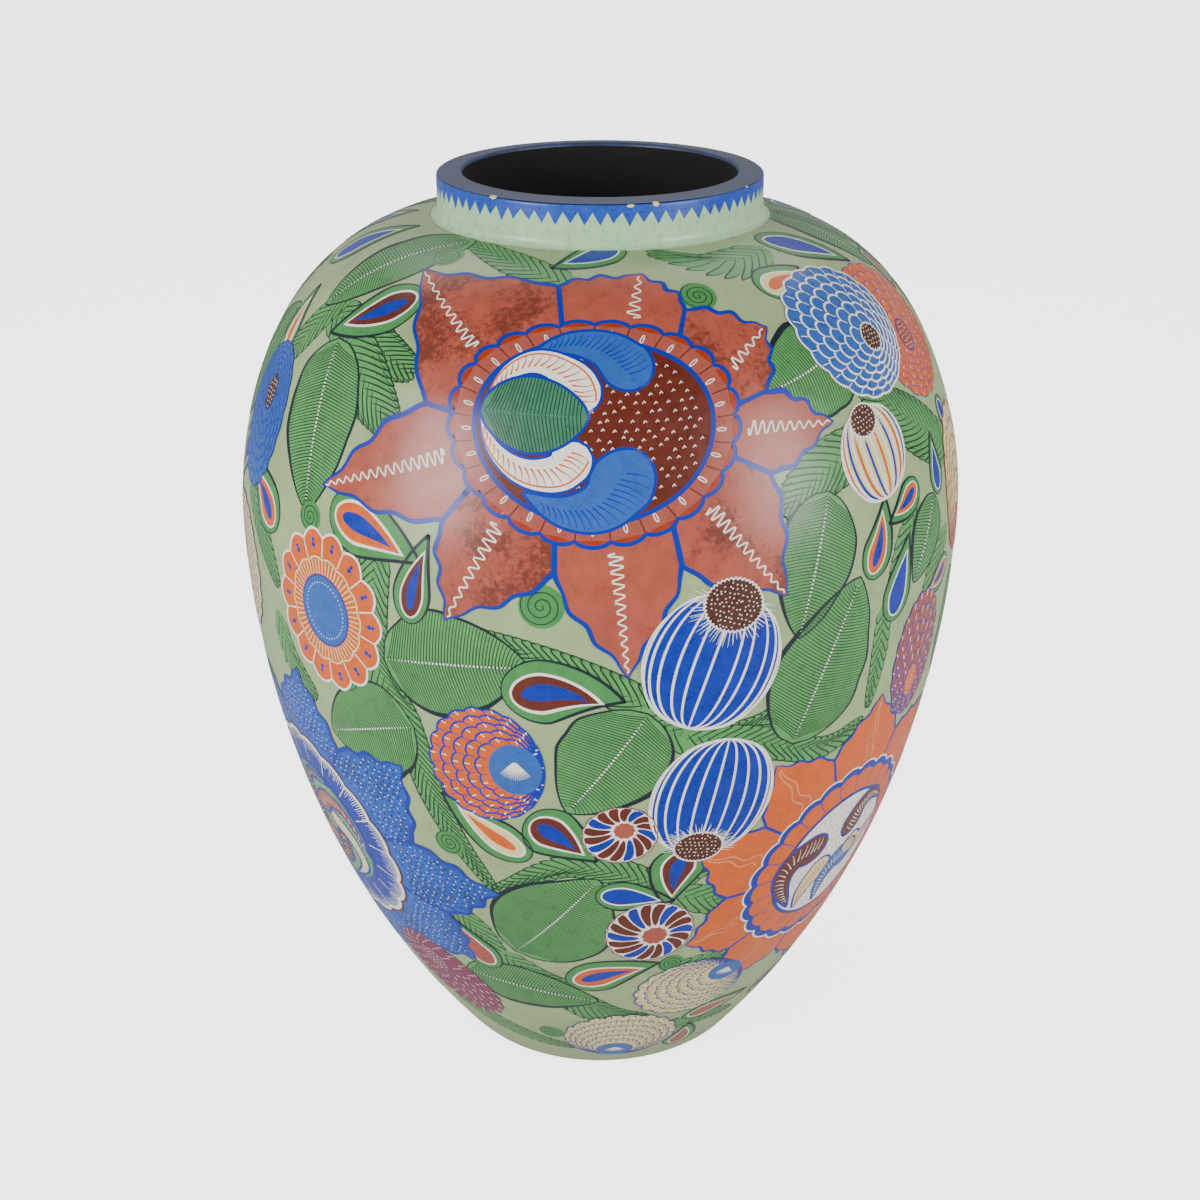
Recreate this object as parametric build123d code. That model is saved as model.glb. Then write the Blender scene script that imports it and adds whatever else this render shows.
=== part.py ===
from build123d import *
import os
from math import cos, radians, sin, sqrt

# A large hand-built earthenware vase: an egg-shaped body on a flat foot, a short upright neck with a
# thick, slightly sloping rim, coloured slip outside and black slip inside.
# Millimetres, +Z up, origin at the centre of the resting face of the foot.
# The body is made as clay pots of this size are: a base slab, a lower bowl and an upper dome pressed in
# moulds, a coiled collar and a rim coil, luted together at stepped joints, with a clay coil smeared over
# each joint on the inside. The slips are thin coats over the clay.

# Finished outline, over the slip
TOTAL_HEIGHT = 560.0
COLLAR_HEIGHT = 24.5  # from the top of the shoulder to the top of the rim
SHOULDER_DEPTH = 174.5  # from the belly up to the top of the shoulder
FOOT_RADIUS = 95.0
BELLY_RADIUS = 217.5
CROWN_ARC = 232.0  # radius of the wall's arc just above the belly
CROWN_TURN = 28.0  # degrees through which that arc runs
NECK_RADIUS = 94.5
RIM_THICKNESS = 15.0
RIM_FALL = 1.2  # the rim's top falls this much from its inner to its outer edge
RIM_OUTER_ROUND = 1.6
RIM_INNER_ROUND = 2.5
COLLAR_FLARE = 5.0  # fillet where the collar meets the shoulder

# Clay
WALL = 9.0
FLOOR = 13.0
FOOT_BEVEL = 2.0
BASE_REBATE = 5.0  # height of the slab's raised centre, which locates the bowl
BELLY_LAP = 8.0  # height of the half-lap at the belly seam
LIP_THICKNESS = 6.5  # the dome's pulled-up lip, which the collar fits over
LIP_RISE = 6.0  # height of that lip above the shoulder
RIM_HEIGHT = 12.0
RIM_KEY = 3.0  # height of the step between the collar and the rim coil
BASE_COIL = 12.0  # radius of the coil in the corner between floor and wall
BELLY_COIL_HEIGHT = 22.0
BELLY_COIL_DEPTH = 4.0
NECK_COIL = 9.0  # radius of the coil under the neck joint

# Slip
COAT = 0.5
BARE_FOOT = 4.0  # height of unpainted clay above the resting face
BLUE_BAND = 8.0  # height of the blue slip down the rim's outer face

# Values that follow from the ones above
CLAY_INSIDE = COAT + WALL  # depth of the clay's inner face under the finished outline
MOUTH_RADIUS = NECK_RADIUS - RIM_THICKNESS
CLAY_MOUTH = MOUTH_RADIUS + COAT
CLAY_NECK = NECK_RADIUS - COAT
SHOULDER_TOP = TOTAL_HEIGHT - COLLAR_HEIGHT
BELLY_HEIGHT = SHOULDER_TOP - SHOULDER_DEPTH
SPAN = 2 * (BELLY_RADIUS + TOTAL_HEIGHT)  # larger than any cutting region needs

# The outline's three tangent arcs. The wall's arc runs from the foot to the belly, where it is upright.
# The crown's arc leaves the belly upright, and the shoulder's arc leaves the crown's and ends level.
belly_overhang = BELLY_RADIUS - FOOT_RADIUS
WALL_ARC = (belly_overhang**2 + BELLY_HEIGHT**2) / (2 * belly_overhang)
WALL_CENTRE = (BELLY_RADIUS - WALL_ARC, BELLY_HEIGHT)
CROWN_CENTRE = (BELLY_RADIUS - CROWN_ARC, BELLY_HEIGHT)
CROWN_END = radians(CROWN_TURN)
LEVEL = radians(90)
SHOULDER_ARC = (SHOULDER_DEPTH - CROWN_ARC * sin(CROWN_END)) / (1 - sin(CROWN_END))
SHOULDER_CENTRE = (
    CROWN_CENTRE[0] + (CROWN_ARC - SHOULDER_ARC) * cos(CROWN_END),
    CROWN_CENTRE[1] + (CROWN_ARC - SHOULDER_ARC) * sin(CROWN_END),
)


def on_arc(centre, radius, turn):
    """The point on an arc at an angle above the horizontal."""
    return centre[0] + radius * cos(turn), centre[1] + radius * sin(turn)


def wall_radius(height, inset):
    """Distance from the axis of the wall's arc, moved inwards by inset, at a height."""
    return WALL_CENTRE[0] + sqrt((WALL_ARC - inset) ** 2 - (BELLY_HEIGHT - height) ** 2)


def shoulder_height(radius, inset):
    """Height of the shoulder, moved inwards by inset, at a distance from the axis."""
    beyond_centre = max(0, radius - SHOULDER_CENTRE[0])
    return SHOULDER_CENTRE[1] + sqrt((SHOULDER_ARC - inset) ** 2 - beyond_centre**2)


# Regions are half-sections: x is the distance from the axis and y the height.


def box_region(r_low, r_high, z_low, z_high):
    """A rectangle."""
    corners = [(r_low, z_low), (r_high, z_low), (r_high, z_high), (r_low, z_high)]
    return make_face(Polyline(*corners, close=True))


def below(height):
    """Everything under a height."""
    return box_region(0, SPAN, -SPAN, height)


def above(height):
    """Everything over a height."""
    return box_region(0, SPAN, height, SPAN)


def corner(region, radius, height):
    """The region's corner that lies nearest to a point."""
    return min(region.vertices(), key=lambda v: (v.X - radius) ** 2 + (v.Y - height) ** 2)


def body_region(inset):
    """The solid egg from foot to shoulder, its three arcs moved inwards by inset."""
    wall, crown, shoulder = WALL_ARC - inset, CROWN_ARC - inset, SHOULDER_ARC - inset
    foot = (wall_radius(0, inset), 0)
    mid_wall = (wall_radius(BELLY_HEIGHT / 2, inset), BELLY_HEIGHT / 2)
    belly = on_arc(WALL_CENTRE, wall, 0)
    mid_crown = on_arc(CROWN_CENTRE, crown, CROWN_END / 2)
    crown_end = on_arc(CROWN_CENTRE, crown, CROWN_END)
    mid_shoulder = on_arc(SHOULDER_CENTRE, shoulder, (CROWN_END + LEVEL) / 2)
    top = on_arc(SHOULDER_CENTRE, shoulder, LEVEL)
    edges = [
        ThreePointArc(foot, mid_wall, belly),
        ThreePointArc(belly, mid_crown, crown_end),
        ThreePointArc(crown_end, mid_shoulder, top),
        Polyline(top, (0, top[1]), (0, 0), foot),
    ]
    return make_face(edges)


def outer_region(inset):
    """The vase's outside, neck and rim included, with only its mouth bored, moved inwards by inset."""
    neck, mouth = NECK_RADIUS - inset, MOUTH_RADIUS + inset
    inner_top, outer_top = TOTAL_HEIGHT - inset, TOTAL_HEIGHT - RIM_FALL - inset
    base = BELLY_HEIGHT
    neck_outline = [(0, base), (neck, base), (neck, outer_top), (mouth, inner_top), (0, inner_top)]
    region = body_region(inset) + make_face(Polyline(*neck_outline, close=True))
    root = corner(region, neck, shoulder_height(neck, inset))
    region = fillet(root, COLLAR_FLARE + inset)
    region = region - box_region(0, mouth, shoulder_height(mouth, CLAY_INSIDE), SPAN)
    region = fillet(corner(region, neck, outer_top), RIM_OUTER_ROUND - inset)
    return fillet(corner(region, mouth, inner_top), RIM_INNER_ROUND - inset)


def room_region():
    """The space inside the clay wall, up to the shoulder."""
    return body_region(CLAY_INSIDE) & above(FLOOR)


def mouth_region():
    """The bore through the dome, the collar and the rim."""
    return box_region(0, CLAY_MOUTH, BELLY_HEIGHT, SPAN)


def base_slab():
    edge = body_region(COAT) & below(FLOOR - BASE_REBATE)
    centre = body_region(CLAY_INSIDE) & below(FLOOR)
    slab = edge + centre
    return chamfer(corner(slab, FOOT_RADIUS, 0), FOOT_BEVEL)


def egg_wall():
    """The bowl's and the dome's clay, before they are divided at the belly."""
    return body_region(COAT) - body_region(CLAY_INSIDE) - mouth_region() - below(FLOOR - BASE_REBATE)


def under_belly_lap():
    """Everything under the half-lap, whose outer half reaches higher than its inner half."""
    inner_half = body_region(COAT + WALL / 2)
    return below(BELLY_HEIGHT - BELLY_LAP / 2) + (below(BELLY_HEIGHT + BELLY_LAP / 2) - inner_half)


def lower_bowl():
    return egg_wall() & under_belly_lap()


def dome_lip():
    lip = box_region(CLAY_MOUTH, CLAY_MOUTH + LIP_THICKNESS, BELLY_HEIGHT, SHOULDER_TOP + LIP_RISE)
    return lip - body_region(CLAY_INSIDE)


def upper_dome():
    return (egg_wall() - under_belly_lap()) + dome_lip()


def neck_clay():
    """Collar and rim coil together: all the clay over the dome."""
    return (outer_region(COAT) & above(BELLY_HEIGHT)) - body_region(COAT) - dome_lip()


def under_rim_key():
    """Everything under the rim coil, whose step leaves the collar higher at its inner half."""
    seat = TOTAL_HEIGHT - RIM_HEIGHT
    middle = (CLAY_MOUTH + CLAY_NECK) / 2
    return below(seat - RIM_KEY / 2) + box_region(0, middle, -SPAN, seat + RIM_KEY / 2)


def coil(radius, height, coil_radius):
    """A clay coil pressed over a joint: the part of a circle that lies inside the clay wall."""
    section = Pos(radius, height) * Circle(coil_radius)
    return (section & room_region()) - mouth_region()


def base_seam_coil():
    return coil(wall_radius(FLOOR, CLAY_INSIDE), FLOOR, BASE_COIL)


def belly_seam_coil():
    half_height = BELLY_COIL_HEIGHT / 2
    coil_radius = (half_height**2 + BELLY_COIL_DEPTH**2) / (2 * BELLY_COIL_DEPTH)
    inner_edge = BELLY_RADIUS - CLAY_INSIDE - BELLY_COIL_DEPTH
    return coil(inner_edge + coil_radius, BELLY_HEIGHT, coil_radius)


def neck_seam_coil():
    return coil(CLAY_MOUTH, shoulder_height(CLAY_MOUTH, CLAY_INSIDE), NECK_COIL)


def cavity():
    """The space inside the clay and its coils, open at the mouth."""
    return (room_region() - base_seam_coil() - belly_seam_coil() - neck_seam_coil()) + mouth_region()


def inside_slip():
    """A coat over the whole inner face, from the floor up to where the rim's inner edge turns over."""
    both_halves = cavity() + mirror(cavity(), about=Plane.YZ)
    coated = offset(both_halves, amount=-COAT, kind=Kind.INTERSECTION) & above(0)
    return (cavity() - coated) & below(TOTAL_HEIGHT - RIM_INNER_ROUND)


def outside_slip():
    return outer_region(0) - outer_region(COAT)


def body_slip():
    inside_flare = box_region(0, NECK_RADIUS + COLLAR_FLARE, BELLY_HEIGHT, SPAN)
    return (outside_slip() & above(BARE_FOOT)) - inside_flare


def collar_zone():
    """Where the collar's own colours lie: outwards of the rim's middle and down to the flare's foot."""
    middle = (NECK_RADIUS + MOUTH_RADIUS) / 2
    return box_region(middle, NECK_RADIUS + COLLAR_FLARE, BELLY_HEIGHT, SPAN)


def rim_zone():
    """Where the blue slip lies: down the rim's outer face, across its top and over its inner edge."""
    middle = (NECK_RADIUS + MOUTH_RADIUS) / 2
    inner = box_region(0, middle, TOTAL_HEIGHT - RIM_INNER_ROUND, SPAN)
    return above(TOTAL_HEIGHT - BLUE_BAND) & (inner + box_region(middle, SPAN, 0, SPAN))


def main():
    regions = {
        "base_slab": base_slab(),
        "lower_bowl": lower_bowl(),
        "upper_dome": upper_dome(),
        "neck_collar": neck_clay() & under_rim_key(),
        "rim_coil": neck_clay() - under_rim_key(),
        "base_seam_coil": base_seam_coil(),
        "belly_seam_coil": belly_seam_coil(),
        "neck_seam_coil": neck_seam_coil(),
        "body_slip": body_slip(),
        "collar_slip": (outside_slip() & collar_zone()) - rim_zone(),
        "rim_slip": outside_slip() & rim_zone(),
        "inside_slip": inside_slip(),
    }
    os.makedirs("parts", exist_ok=True)
    for name, region in regions.items():
        solid = revolve(Plane.XZ * region, axis=Axis.Z)
        export_step(solid, f"parts/{name}.step")


main()
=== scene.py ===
"""A large earthenware vase painted all over with flowers, leaves, buds and drops in coloured slip."""

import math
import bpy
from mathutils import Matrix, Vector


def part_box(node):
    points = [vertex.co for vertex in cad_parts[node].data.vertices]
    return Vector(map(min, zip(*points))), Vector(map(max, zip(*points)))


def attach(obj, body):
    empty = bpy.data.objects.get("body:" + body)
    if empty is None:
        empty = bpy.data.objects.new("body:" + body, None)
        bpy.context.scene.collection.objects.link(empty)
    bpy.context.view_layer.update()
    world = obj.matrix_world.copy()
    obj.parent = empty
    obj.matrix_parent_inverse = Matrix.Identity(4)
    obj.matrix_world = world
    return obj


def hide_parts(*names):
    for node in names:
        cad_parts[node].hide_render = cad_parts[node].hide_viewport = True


bl_info = {
    "name": "Painted earthenware vase",
    "version": (1, 0, 0),
    "blender": (4, 5, 0),
    "location": "3D View > Sidebar > Vase",
    "description": "Paints a hand-built earthenware vase with slip flowers, one operator per group of motifs",
    "category": "Object",
}

import bmesh
import bpy
import numpy as np
from bpy.props import FloatProperty, FloatVectorProperty, PointerProperty
from bpy.types import Operator, Panel, PropertyGroup
from mathutils import Vector

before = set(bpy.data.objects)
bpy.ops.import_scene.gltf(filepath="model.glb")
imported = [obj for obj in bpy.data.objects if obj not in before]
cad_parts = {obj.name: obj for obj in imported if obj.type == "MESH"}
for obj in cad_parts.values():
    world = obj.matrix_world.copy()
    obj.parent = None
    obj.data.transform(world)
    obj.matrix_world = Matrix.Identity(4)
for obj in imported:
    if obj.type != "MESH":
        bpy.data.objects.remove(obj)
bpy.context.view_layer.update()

MM = 0.001
TAU = 2 * math.pi

# ---------------------------------------------------------------------------------------------------
# Sizes and colours that a user would change
# ---------------------------------------------------------------------------------------------------


def frame_size(node, corner, axis):
    """One number of a node's box: corner 0 is its lowest and 1 its highest, axis 0 to 2 is X, Y or Z."""
    return float(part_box(node)[corner][axis])


def metres(name, description, default):
    """A length property."""
    return FloatProperty(
        name=name, description=description, default=default, unit="LENGTH", subtype="DISTANCE"
    )


def linear(code):
    """An sRGB hex code such as #6FA568 as linear red, green and blue."""
    values = np.array([int(code[i : i + 2], 16) for i in (1, 3, 5)]) / 255
    return tuple(np.where(values <= 0.04045, values / 12.92, ((values + 0.055) / 1.055) ** 2.4).tolist())


def pigment(name, description, code):
    """A colour property whose default is an sRGB hex code."""
    return FloatVectorProperty(
        name=name, description=description, default=linear(code), subtype="COLOR", size=3, min=0, max=1
    )


class VaseSizes(PropertyGroup):
    belly_radius: metres("Belly radius", "Widest radius over the slip", frame_size("body_slip", 1, 0))
    belly_height: metres(
        "Belly height",
        "Height of the widest place, which the seam coil covers inside",
        (frame_size("belly_seam_coil", 0, 2) + frame_size("belly_seam_coil", 1, 2)) / 2,
    )
    foot_radius: metres("Foot radius", "Radius of the wall's outline at the floor", 0.095)
    bare_foot: metres("Bare foot", "Height of unpainted clay", frame_size("body_slip", 0, 2))
    shoulder_top: metres("Shoulder top", "Height at which the shoulder's arc is level", 0.5355)
    crown_arc: metres("Crown arc", "Radius of the wall's arc just above the belly", 0.232)
    crown_turn: FloatProperty(
        name="Crown turn", description="Angle through which the crown's arc runs", default=math.radians(
            28
        ), subtype="ANGLE"
    )
    total_height: metres("Total height", "Height of the rim's inner edge", frame_size("rim_slip", 1, 2))
    neck_radius: metres("Neck radius", "Outer radius of collar and rim", frame_size("rim_slip", 1, 0))
    rim_thickness: metres("Rim thickness", "Width of the rim's top", 0.015)
    collar_flare: metres("Collar flare", "Fillet where the collar meets the shoulder", 0.005)
    lump: metres("Hand unevenness", "How far the hand-built wall strays from round", 0.0003)
    paint_step: metres("Paint step", "Height of one coat of paint over the one under it", 0.00005)


class VasePigments(PropertyGroup):
    sage: pigment("Sage", "Ground of the body", "#94A878")
    collar_green: pigment("Collar green", "Ground of the collar", "#A2C79C")
    leaf: pigment("Leaf green", "Leaves and fronds", "#559452")
    deep_green: pigment("Deep green", "Drops and curls", "#418546")
    ink: pigment("Ink", "Blue-black outlines", "#141C28")
    vein: pigment("Vein", "Dark green hair lines", "#16351F")
    cobalt: pigment("Cobalt", "Bright blue outlines and stripes", "#04279A")
    sky: pigment("Sky blue", "Soft blue fields", "#2A58A6")
    pink: pigment("Terracotta pink", "Petals", "#A24D3B")
    blush: pigment("Blush", "Scallops of the pink flower", "#9C4C3E")
    rust: pigment("Rust", "Scallop edges", "#96300F")
    brown: pigment("Brown", "Seed fields", "#5C2216")
    orange: pigment("Orange", "Petals and scales", "#CE5A1C")
    white: pigment("White", "Lines, dots and paisleys", "#ECE8DC")
    cream: pigment("Cream", "Pale drops", "#DDCF92")
    purple: pigment("Mulberry", "Small flowers near the foot", "#7D2C50")
    rim_blue: pigment("Rim blue", "Slate blue on top of the rim", "#2A3350")
    teal: pigment("Teal", "Leaf in the heart of the terracotta flower", "#3B7459")
    petal_blue: pigment("Petal blue", "Petals of the blue flower", "#1C50B4")
    seed_brown: pigment("Seed brown", "Seed heads of the buds", "#4A2318")
    band_blue: pigment("Band blue", "Band and teeth round the rim", "#2449A8")
    apricot: pigment("Apricot", "Pale double lines on the orange petals", "#E0A27A")
    soot: pigment("Soot black", "Inside of the vase", "#070707")
    clay: pigment("Fired clay", "Bare earthenware", "#A8623F")


# ---------------------------------------------------------------------------------------------------
# The vase's outline, and how a flat motif is laid on it
# ---------------------------------------------------------------------------------------------------


class Outline:
    """The vase's outside as three tangent arcs turned round the axis.

    A point is given by its angle round the axis (0 faces the viewer, positive to the right), its distance
    along the outline from the floor, and its lift off the surface.
    """

    def __init__(self, sizes):
        overhang = sizes.belly_radius - sizes.foot_radius
        wall = (overhang**2 + sizes.belly_height**2) / (2 * overhang)
        turn = sizes.crown_turn
        depth = sizes.shoulder_top - sizes.belly_height
        shoulder = (depth - sizes.crown_arc * math.sin(turn)) / (1 - math.sin(turn))
        crown_r = sizes.belly_radius - sizes.crown_arc
        step = sizes.crown_arc - shoulder
        self.lump = sizes.lump
        self.arcs = np.array([wall, sizes.crown_arc, shoulder])
        self.centre_r = np.array([sizes.belly_radius - wall, crown_r, crown_r + step * math.cos(turn)])
        self.centre_z = np.array([0.0, 0.0, step * math.sin(turn)]) + sizes.belly_height
        self.tilts = np.array([-math.asin(sizes.belly_height / wall), 0, turn, math.pi / 2])
        self.lengths = np.concatenate([[0], np.cumsum(self.arcs * np.diff(self.tilts))])

    def tilt(self, along):
        """Angle of the surface's normal above the horizontal. Within an arc it grows evenly along it."""
        return np.interp(along, self.lengths, self.tilts)

    def section(self, along):
        """Radius and height: the arc's centre plus its radius turned by the normal's tilt."""
        tilt = self.tilt(along)
        arc = np.clip(np.searchsorted(self.lengths, along, side="right") - 1, 0, 2)
        radius = self.centre_r[arc] + self.arcs[arc] * np.cos(tilt)
        return radius, self.centre_z[arc] + self.arcs[arc] * np.sin(tilt)

    def along_at(self, height):
        """Distance along the outline at which it reaches a height."""
        table = np.linspace(0, self.lengths[-1], 2000)
        return np.interp(height, self.section(table)[1], table)

    def unevenness(self, angle, along):
        """Slow waves of the hand-built wall: three sine waves round and up the vase, added."""
        waves = (
            np.sin(3 * angle + 9 * along)
            + 0.7 * np.sin(5 * angle - 17 * along + 1.3)
            + 0.5 * np.sin(2 * angle + 31 * along + 0.4)
        )
        return self.lump * 0.5 * waves

    def place(self, angle, along, lift):
        """XYZ of points: the section at that distance, moved out along its normal, turned by the angle."""
        radius, height = self.section(along)
        tilt = self.tilt(along)
        out = lift + self.unevenness(angle, along)
        reach = radius + out * np.cos(tilt)
        return np.stack([reach * np.sin(angle), -reach * np.cos(angle), height + out * np.sin(tilt)], -1)


class Canvas:
    """A flat piece of paper laid on the vase: x to the right and y up, in millimetres, after a turn.

    The paper's y runs along the outline. Its x is divided by the vase's radius at that place, so that
    widths stay true.
    """

    def __init__(self, angle, height, turn=0.0, mirror=False, outline=None):
        self.outline = outline or Outline(sizes())
        self.angle = math.radians(angle)
        self.along = float(self.outline.along_at(height * MM))
        self.turn = math.radians(turn)
        self.mirror = mirror

    def lay(self, flat, lift):
        """XYZ of an array of paper points."""
        x, y = flat[..., 0] * MM, flat[..., 1] * MM
        if self.mirror:
            x = -x
        cos, sin = math.cos(self.turn), math.sin(self.turn)
        right, up = x * cos + y * sin, y * cos - x * sin
        along = self.along + up
        radius = self.outline.section(along)[0]
        return self.outline.place(self.angle + right / radius, along, lift)


# ---------------------------------------------------------------------------------------------------
# Meshes from grids of points
# ---------------------------------------------------------------------------------------------------


def grid_faces(count, rows, columns):
    """Corner numbers of the quads of several grids of rows by columns points, one grid after another."""
    corner = np.arange(rows - 1)[:, None] * columns + np.arange(columns - 1)
    quad = np.stack([corner, corner + 1, corner + columns + 1, corner + columns], -1).reshape(-1, 4)
    return (quad + np.arange(count)[:, None, None] * rows * columns).reshape(-1, 4)


def outward(points, faces):
    """The faces of each grid, turned so that they look away from the vase's axis or, if level, upwards."""
    a, b, d = (points[faces[:, i]] for i in (0, 1, 3))
    normal = np.cross(b - a, d - a)
    away = a * [1, 1, 0] + np.array([0, 0, 0.12])
    flip = (normal * away).sum(-1) < 0
    return np.where(flip[:, None], faces[:, ::-1], faces)


def build_mesh(name, grids, material, smooth=True):
    """One object from a list of arrays of shape (count, rows, columns, 3)."""
    points, faces, offset = [], [], 0
    for grid in grids:
        count, rows, columns = grid.shape[:3]
        flat = grid.reshape(-1, 3)
        points.append(flat)
        faces.append(outward(flat, grid_faces(count, rows, columns)) + offset)
        offset += len(flat)
    points, faces = np.concatenate(points), np.concatenate(faces)
    mesh = bpy.data.meshes.new(name)
    mesh.vertices.add(len(points))
    mesh.vertices.foreach_set("co", points.astype(np.float32).ravel())
    mesh.loops.add(faces.size)
    mesh.loops.foreach_set("vertex_index", faces.astype(np.int32).ravel())
    mesh.polygons.add(len(faces))
    mesh.polygons.foreach_set("loop_start", np.arange(0, faces.size, 4, dtype=np.int32))
    mesh.polygons.foreach_set("use_smooth", np.full(len(faces), smooth))
    mesh.update(calc_edges=True)
    mesh.validate()
    mesh.materials.append(material)
    piece = bpy.data.objects.new(name, mesh)
    bpy.context.collection.objects.link(piece)
    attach(piece, "root")
    return piece


class Paintbox:
    """Collects grids of paint by the piece that they belong to, and makes the pieces at the end."""

    def __init__(self):
        self.grids = {}

    def put(self, piece, canvas, flat, coat):
        """Adds paper grids, of shape (..., rows, columns, 2), to a piece, on the given coat."""
        flat = np.asarray(flat)
        flat = flat.reshape(-1, *flat.shape[-3:])
        lift = coat * sizes().paint_step
        self.grids.setdefault(piece, []).append(canvas.lay(flat, lift))

    def make(self, name, paint):
        """One object from everything put on in one paint."""
        return build_mesh(name, self.grids[paint], finish(paint))


# ---------------------------------------------------------------------------------------------------
# Brush work: flat shapes in millimetres
# ---------------------------------------------------------------------------------------------------


def spine(length, bend=0.0, start=0.0, points=25):
    """A path that starts at the origin going up and turns steadily by bend radians to the right."""
    heading = start + bend * np.linspace(0, 1, points)
    middle = (heading[1:] + heading[:-1]) / 2
    steps = np.stack([np.sin(middle), np.cos(middle)], -1) * length / (points - 1)
    return np.concatenate([np.zeros((1, 2)), np.cumsum(steps, 0)])


def through(points, count=41):
    """A smooth path through a few points: corners are cut twice, then it is divided evenly by length."""
    path = np.asarray(points, float)
    for _ in range(3):
        first, last = path[:1], path[-1:]
        near, far = path[:-1] * 0.75 + path[1:] * 0.25, path[:-1] * 0.25 + path[1:] * 0.75
        path = np.concatenate([first, np.stack([near, far], 1).reshape(-1, 2), last])
    length = np.concatenate([[0], np.cumsum(np.linalg.norm(np.diff(path, axis=0), axis=1))])
    at = np.linspace(0, length[-1], count)
    return np.stack([np.interp(at, length, path[:, i]) for i in (0, 1)], -1)


def right_of(path):
    """Unit vectors to the right of a path's direction."""
    along = np.gradient(path, axis=-2)
    along /= np.linalg.norm(along, axis=-1, keepdims=True) + 1e-9
    return np.stack([along[..., 1], -along[..., 0]], -1)


def blade(path, left, right, across=5):
    """A grid between two edges, at distances left and right of a path."""
    share = np.linspace(0, 1, across)[:, None]
    reach = np.stack(
        [-np.asarray(left) * np.ones(path.shape[:-1]), np.asarray(right) * np.ones(path.shape[:-1])], -1
    )
    offset = reach[..., None, 0, None] * (1 - share) + reach[..., None, 1, None] * share
    return path[..., None, :] + right_of(path)[..., None, :] * offset


def edge_path(path, left, right):
    """The closed path up a blade's left edge and down its right."""
    side = right_of(path)
    up = path - side * np.asarray(left)[..., None]
    down = path + side * np.asarray(right)[..., None]
    return np.concatenate([up, down[::-1]])


def stroke(path, width):
    """A brush stroke: a ribbon of the given width, one number or one for each point, along a path."""
    half = np.asarray(width) / 2
    return blade(path, half, half, across=2)


def taper(points, power=1.0, floor=0.15):
    """Stroke widths that swell from a thin start to full in the middle and thin out again."""
    return floor + (1 - floor) * np.sin(np.linspace(0, math.pi, points)) ** power


def disc(radius, points=7):
    """A grid over a round patch: a square with its sides pushed out to the circle, with no pole."""
    u, v = np.meshgrid(np.linspace(-1, 1, points), np.linspace(-1, 1, points))
    x, y = u * np.sqrt(1 - v**2 / 2), v * np.sqrt(1 - u**2 / 2)
    return np.stack([x, y], -1) * radius


def circle(radius, points=49, start=0.0, sweep=TAU):
    """A path round a circle, clockwise from the top. The radius may be one number for each point."""
    angle = start + np.linspace(0, sweep, points)
    return np.stack([np.sin(angle), np.cos(angle)], -1) * np.asarray(radius)[..., None]


def ring(inner, outer, rows=4):
    """A grid between two paths with as many points."""
    share = np.linspace(0, 1, rows)[:, None, None]
    return inner * (1 - share) + outer * share


def scalloped(radius, lobes, depth, points_per_lobe=8, sharp=1.0):
    """A path round a circle whose edge swells in lobes: radius less depth in the notches between them."""
    points = lobes * points_per_lobe + 1
    angle = np.linspace(0, TAU, points)
    swell = np.abs(np.sin(angle * lobes / 2)) ** sharp
    return circle(radius - depth * (1 - swell), points)


def dots(places, radius):
    """Small round dabs, one at each place. The radius may differ from dab to dab."""
    places = np.asarray(places, float)
    return places[:, None, None, :] + disc(1.0, 3) * np.broadcast_to(radius, len(places))[:, None, None, None]


def turned(flat, angle):
    """Paper points turned clockwise by an angle in radians."""
    cos, sin = math.cos(angle), math.sin(angle)
    return np.stack([flat[..., 0] * cos + flat[..., 1] * sin, flat[..., 1] * cos - flat[..., 0] * sin], -1)


def sizes():
    return bpy.context.scene.vase_sizes


def pigments():
    return bpy.context.scene.vase_pigments


def on_blade(path, left, right, along, across):
    """Points on a blade: along runs 0 to 1 up its path, across runs -1 at its left edge to 1 at its right."""
    share = np.linspace(0, 1, len(path))
    side = right_of(path)
    pick = lambda values: np.interp(along, share, values)
    reach = np.where(across < 0, pick(left), pick(right)) * across
    return np.stack(
        [pick(path[:, 0]) + pick(side[:, 0]) * reach, pick(path[:, 1]) + pick(side[:, 1]) * reach], -1
    )


def wobble(count, seed, strength):
    """Small smooth random changes along a stroke, as of an unsteady brush."""
    rng = np.random.default_rng(seed)
    knots = rng.normal(0, strength, max(4, count // 4))
    return np.interp(np.linspace(0, 1, count), np.linspace(0, 1, len(knots)), knots)


# ---------------------------------------------------------------------------------------------------
# Motifs
# ---------------------------------------------------------------------------------------------------


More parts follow.
